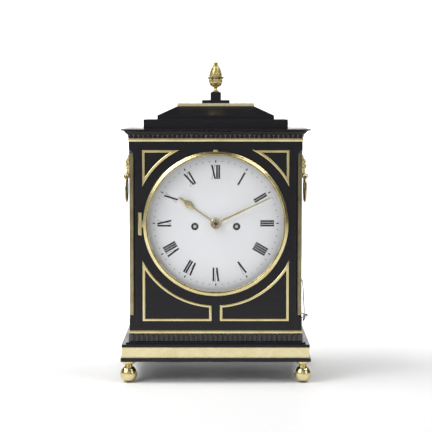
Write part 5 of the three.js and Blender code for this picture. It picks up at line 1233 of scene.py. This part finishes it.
def fret_mesh(side):
    bm = bmesh.new()
    bmesh.ops.create_grid(bm, x_segments=1, y_segments=1, size=1)
    bmesh.ops.scale(bm, vec=(FRET_HALF * MM, FRET_HEIGHT / 2 * MM, 1), verts=bm.verts)
    middle = bm.faces[:]
    bmesh.ops.inset_region(bm, faces=middle, thickness=4 * MM, use_even_offset=True, use_boundary=True)
    bmesh.ops.delete(bm, geom=middle, context="FACES")
    raised = bmesh.ops.extrude_face_region(bm, geom=bm.faces[:])["geom"]
    lifted = [g for g in raised if isinstance(g, bmesh.types.BMVert)]
    bmesh.ops.translate(bm, vec=(0, 0, -FRET_THICKNESS * MM), verts=lifted)
    into(None, bm)
    round_edges(bm, 0.3)
    inner_x, inner_y = FRET_HALF - 3.9, FRET_HEIGHT / 2 - 3.9
    rows = int(2 * inner_y / (SCALE_ACROSS / 2)) + 2
    scales = bmesh.new()
    for row in range(rows):
        y = -inner_y + row * SCALE_ACROSS / 2
        for i in range(-5, 6):
            x = (i + 0.5 * (row % 2)) * SCALE_ACROSS
            half = bmesh.new()
            section = [(SCALE_ACROSS / 2 - 0.1, -1.3), (SCALE_ACROSS / 2 - 0.1, -0.2),
                       (SCALE_ACROSS / 2 - 1.3, -0.2), (SCALE_ACROSS / 2 - 1.3, -1.3),
                       (SCALE_ACROSS / 2 - 0.1, -1.3)]
            geometry = line_of(half, [(r * MM, 0, h * MM) for r, h in section])
            bmesh.ops.spin(half, geom=geometry, axis=(0, 0, 1), cent=(0, 0, 0), steps=10, angle=math.pi)
            bmesh.ops.remove_doubles(half, verts=half.verts, dist=1e-6)
            bmesh.ops.holes_fill(half, edges=half.edges)
            bmesh.ops.translate(half, vec=(x * MM, y * MM, -0.03 * (row % 2) * MM), verts=half.verts)
            into(scales, half)
    for axis, reach in ((0, inner_x), (1, inner_y)):
        for way in (-1, 1):
            spot, normal = Vector((0, 0, 0)), Vector((0, 0, 0))
            spot[axis], normal[axis] = way * reach * MM, way
            bmesh.ops.bisect_plane(scales, geom=scales.verts[:] + scales.edges[:] + scales.faces[:],
                                   plane_co=spot, plane_no=normal, clear_outer=True)
    bmesh.ops.holes_fill(scales, edges=scales.edges)
    into(bm, scales)
    upright = Matrix.Translation(Vector((side * HALF_WIDTH, 0, FRET_TOP - FRET_HEIGHT / 2)) * MM) @ Matrix(
        ((0, 0, side, 0), (side, 0, 0, 0), (0, 1, 0, 0), (0, 0, 0, 1)))
    bmesh.ops.transform(bm, matrix=upright, verts=bm.verts)
    return bm


for side_name, side in (("left", -1), ("right", 1)):
    piece(f"{side_name}_fish_scale_fret", fret_mesh(side), "case", case_brass,
          [f"{side_name}_sound_fret"], smooth=30)

# %% [markdown]
# ## The bell and the pendulum
# Through the back door's glass the bell and the pendulum show. The bell is turned with a smooth
# shoulder, and the bob is a polished lens on a steel rod with a rating nut below it.

# %% Bell
BELL_Y, BELL_MOUTH, BELL_HEIGHT, BELL_RADIUS = -25, 325, 25, 36
shell = [(0, 25), (6, 24.9), (12, 24.2), (18, 22.7), (23, 20.5), (27, 17.6), (30, 14), (32.2, 10),
         (33.8, 6), (35.2, 2.4), (36, 0)]
inner = [(max(r - 2.0, 0), h - 2 * (h / 25)) for r, h in shell]
inner[0] = (0, 23)
bell_bm = turned([*[(r, BELL_MOUTH + h) for r, h in shell], *[(r, BELL_MOUTH + h) for r, h in reversed(inner)]],
                 "Z", (0, BELL_Y, 0), 72)
turned([(0, 321), (3, 321), (3, 349), (0, 349)], "Z", (0, BELL_Y, 0), 24, bell_bm)
stand = bmesh.new()
box_into(stand, (-4, -29, 319), (32, -21, 322))
box_into(stand, (24, -25, 319), (32, 10.5, 322))
box_into(stand, (24, 8, 298), (32, 10.5, 322))
round_edges(stand, 0.4)
into(bell_bm, stand)
piece("turned_bell", bell_bm, "case", bell_metal, ["bell"], smooth=40)

# %% Pendulum
PIVOT_Y, PIVOT_Z, PENDULUM_LENGTH, BOB_RADIUS = 27, 297.671, 205, 21
bob_z = PIVOT_Z - PENDULUM_LENGTH
lens = [(0, -6), (6, -5.7), (11, -5.0), (15, -3.8), (18.2, -2.3), (20.2, -1.0), (21, -0.6), (21, 0.6),
        (20.2, 1.0), (18.2, 2.3), (15, 3.8), (11, 5.0), (6, 5.7), (0, 6)]
bob_bm = turned([(r, PIVOT_Y + h) for r, h in lens], "Y", (0, 0, bob_z), 64)
turned([(0, bob_z - 25), (3, bob_z - 25), (3.2, bob_z - 24.6), (3.2, bob_z - 23), (3, bob_z - 22.6),
        (0, bob_z - 22.6)], "Z", (0, PIVOT_Y, 0), 24, bob_bm)
turned([(0, bob_z - 26), (1.5, bob_z - 26), (1.5, PIVOT_Z - 13), (0, PIVOT_Z - 13)], "Z", (0, PIVOT_Y, 0),
       20, bob_bm)
box_into(bob_bm, (-3, 26.5, PIVOT_Z - 14), (3, 27.5, PIVOT_Z))
turned([(0, 24.5), (1.1, 24.5), (1.1, 29.5), (0, 29.5)], "Y", (0, 0, PIVOT_Z), 16, bob_bm)
piece("pendulum_turned", bob_bm, "pendulum", movement_brass, ["pendulum"], smooth=40)

# %% [markdown]
# ## Floor and light
# The clock stands on a white table that sweeps up behind it without a corner, so that no horizon
# shows. Three wide soft lamps do the work: a key from the upper left, a fill from the right and
# one overhead, and a white sky lifts the rest.

# %% Floor
floor_bm = bmesh.new()
sweep = [(-4.0, 0)] + [(2.2 + 1.6 * math.sin(a), 1.6 - 1.6 * math.cos(a))
                       for a in [math.pi / 2 * i / 12 for i in range(13)]] + [(3.8, 2.0)]
geometry = line_of(floor_bm, [(-5, y, z) for y, z in sweep])
side_edges = [g for g in geometry if isinstance(g, bmesh.types.BMEdge)]
moved = bmesh.ops.extrude_edge_only(floor_bm, edges=side_edges)["geom"]
bmesh.ops.translate(floor_bm, vec=(10, 0, 0), verts=[g for g in moved if isinstance(g, bmesh.types.BMVert)])
bmesh.ops.recalc_face_normals(floor_bm, faces=floor_bm.faces)
floor_mesh = bpy.data.meshes.new("white_table")
for f in floor_bm.faces:
    f.smooth = True
floor_bm.to_mesh(floor_mesh)
floor_bm.free()
floor = bpy.data.objects.new("white_table", floor_mesh)
bpy.context.scene.collection.objects.link(floor)
table_paint, table_shader = start_finish("table_paint", Base_Color=(0.9, 0.9, 0.905, 1), Roughness=0.55)
floor_mesh.materials.append(table_paint)

# %% Lamps and sky
def lamp(name, place, target, size, power, colour=(1, 1, 1)):
    data = bpy.data.lights.new(name, "AREA")
    data.shape, data.size, data.size_y = "RECTANGLE", size[0], size[1]
    data.energy, data.color = power, colour
    made = bpy.data.objects.new(name, data)
    made.location = place
    made.rotation_euler = (Vector(target) - Vector(place)).to_track_quat("-Z", "Y").to_euler()
    bpy.context.scene.collection.objects.link(made)


lamp("key", (-1.7, -1.5, 1.7), (0, 0, 0.25), (1.3, 1.3), 26)
lamp("fill", (1.9, -1.6, 1.0), (0, 0, 0.25), (1.0, 1.4), 7)
lamp("left_top", (-1.25, -0.2, 2.1), (0, 0, 0), (1.2, 1.2), 35)
lamp("right_top", (1.25, -0.2, 2.1), (0, 0, 0), (1.2, 1.2), 21)
lamp("backdrop", (0, 1.1, 1.7), (0, 3.0, 0.2), (3.0, 0.8), 90)
world = bpy.data.worlds.new("white_sky")
world.use_nodes = True
sky = world.node_tree
ways = sky.nodes.new("ShaderNodeTexCoord")
facing = sky.nodes.new("ShaderNodeVectorMath")
facing.operation = "DOT_PRODUCT"
facing.inputs[1].default_value = Vector((-0.45, -0.85, -0.15)).normalized()
sky.links.new(ways.outputs["Generated"], facing.inputs[0])
fade = sky.nodes.new("ShaderNodeValToRGB")
for stop, (place, grey) in zip([*fade.color_ramp.elements, fade.color_ramp.elements.new(0.3)],
                               ((0.0, 0.11), (0.8, 1.0), (0.35, 0.32))):
    stop.position, stop.color = place, (grey, grey, grey * 1.01, 1)
sky.links.new(facing.outputs["Value"], fade.inputs[0])
sky.links.new(fade.outputs[0], sky.nodes["Background"].inputs["Color"])
sky.nodes["Background"].inputs["Strength"].default_value = 0.64
bpy.context.scene.world = world
bpy.context.scene.view_settings.view_transform = "Standard"

# %% [markdown]
# ## Bringing the scene up to date
# The last line updates the view layer, so that every piece stands where it was put.

# %% Update
bpy.context.view_layer.update()
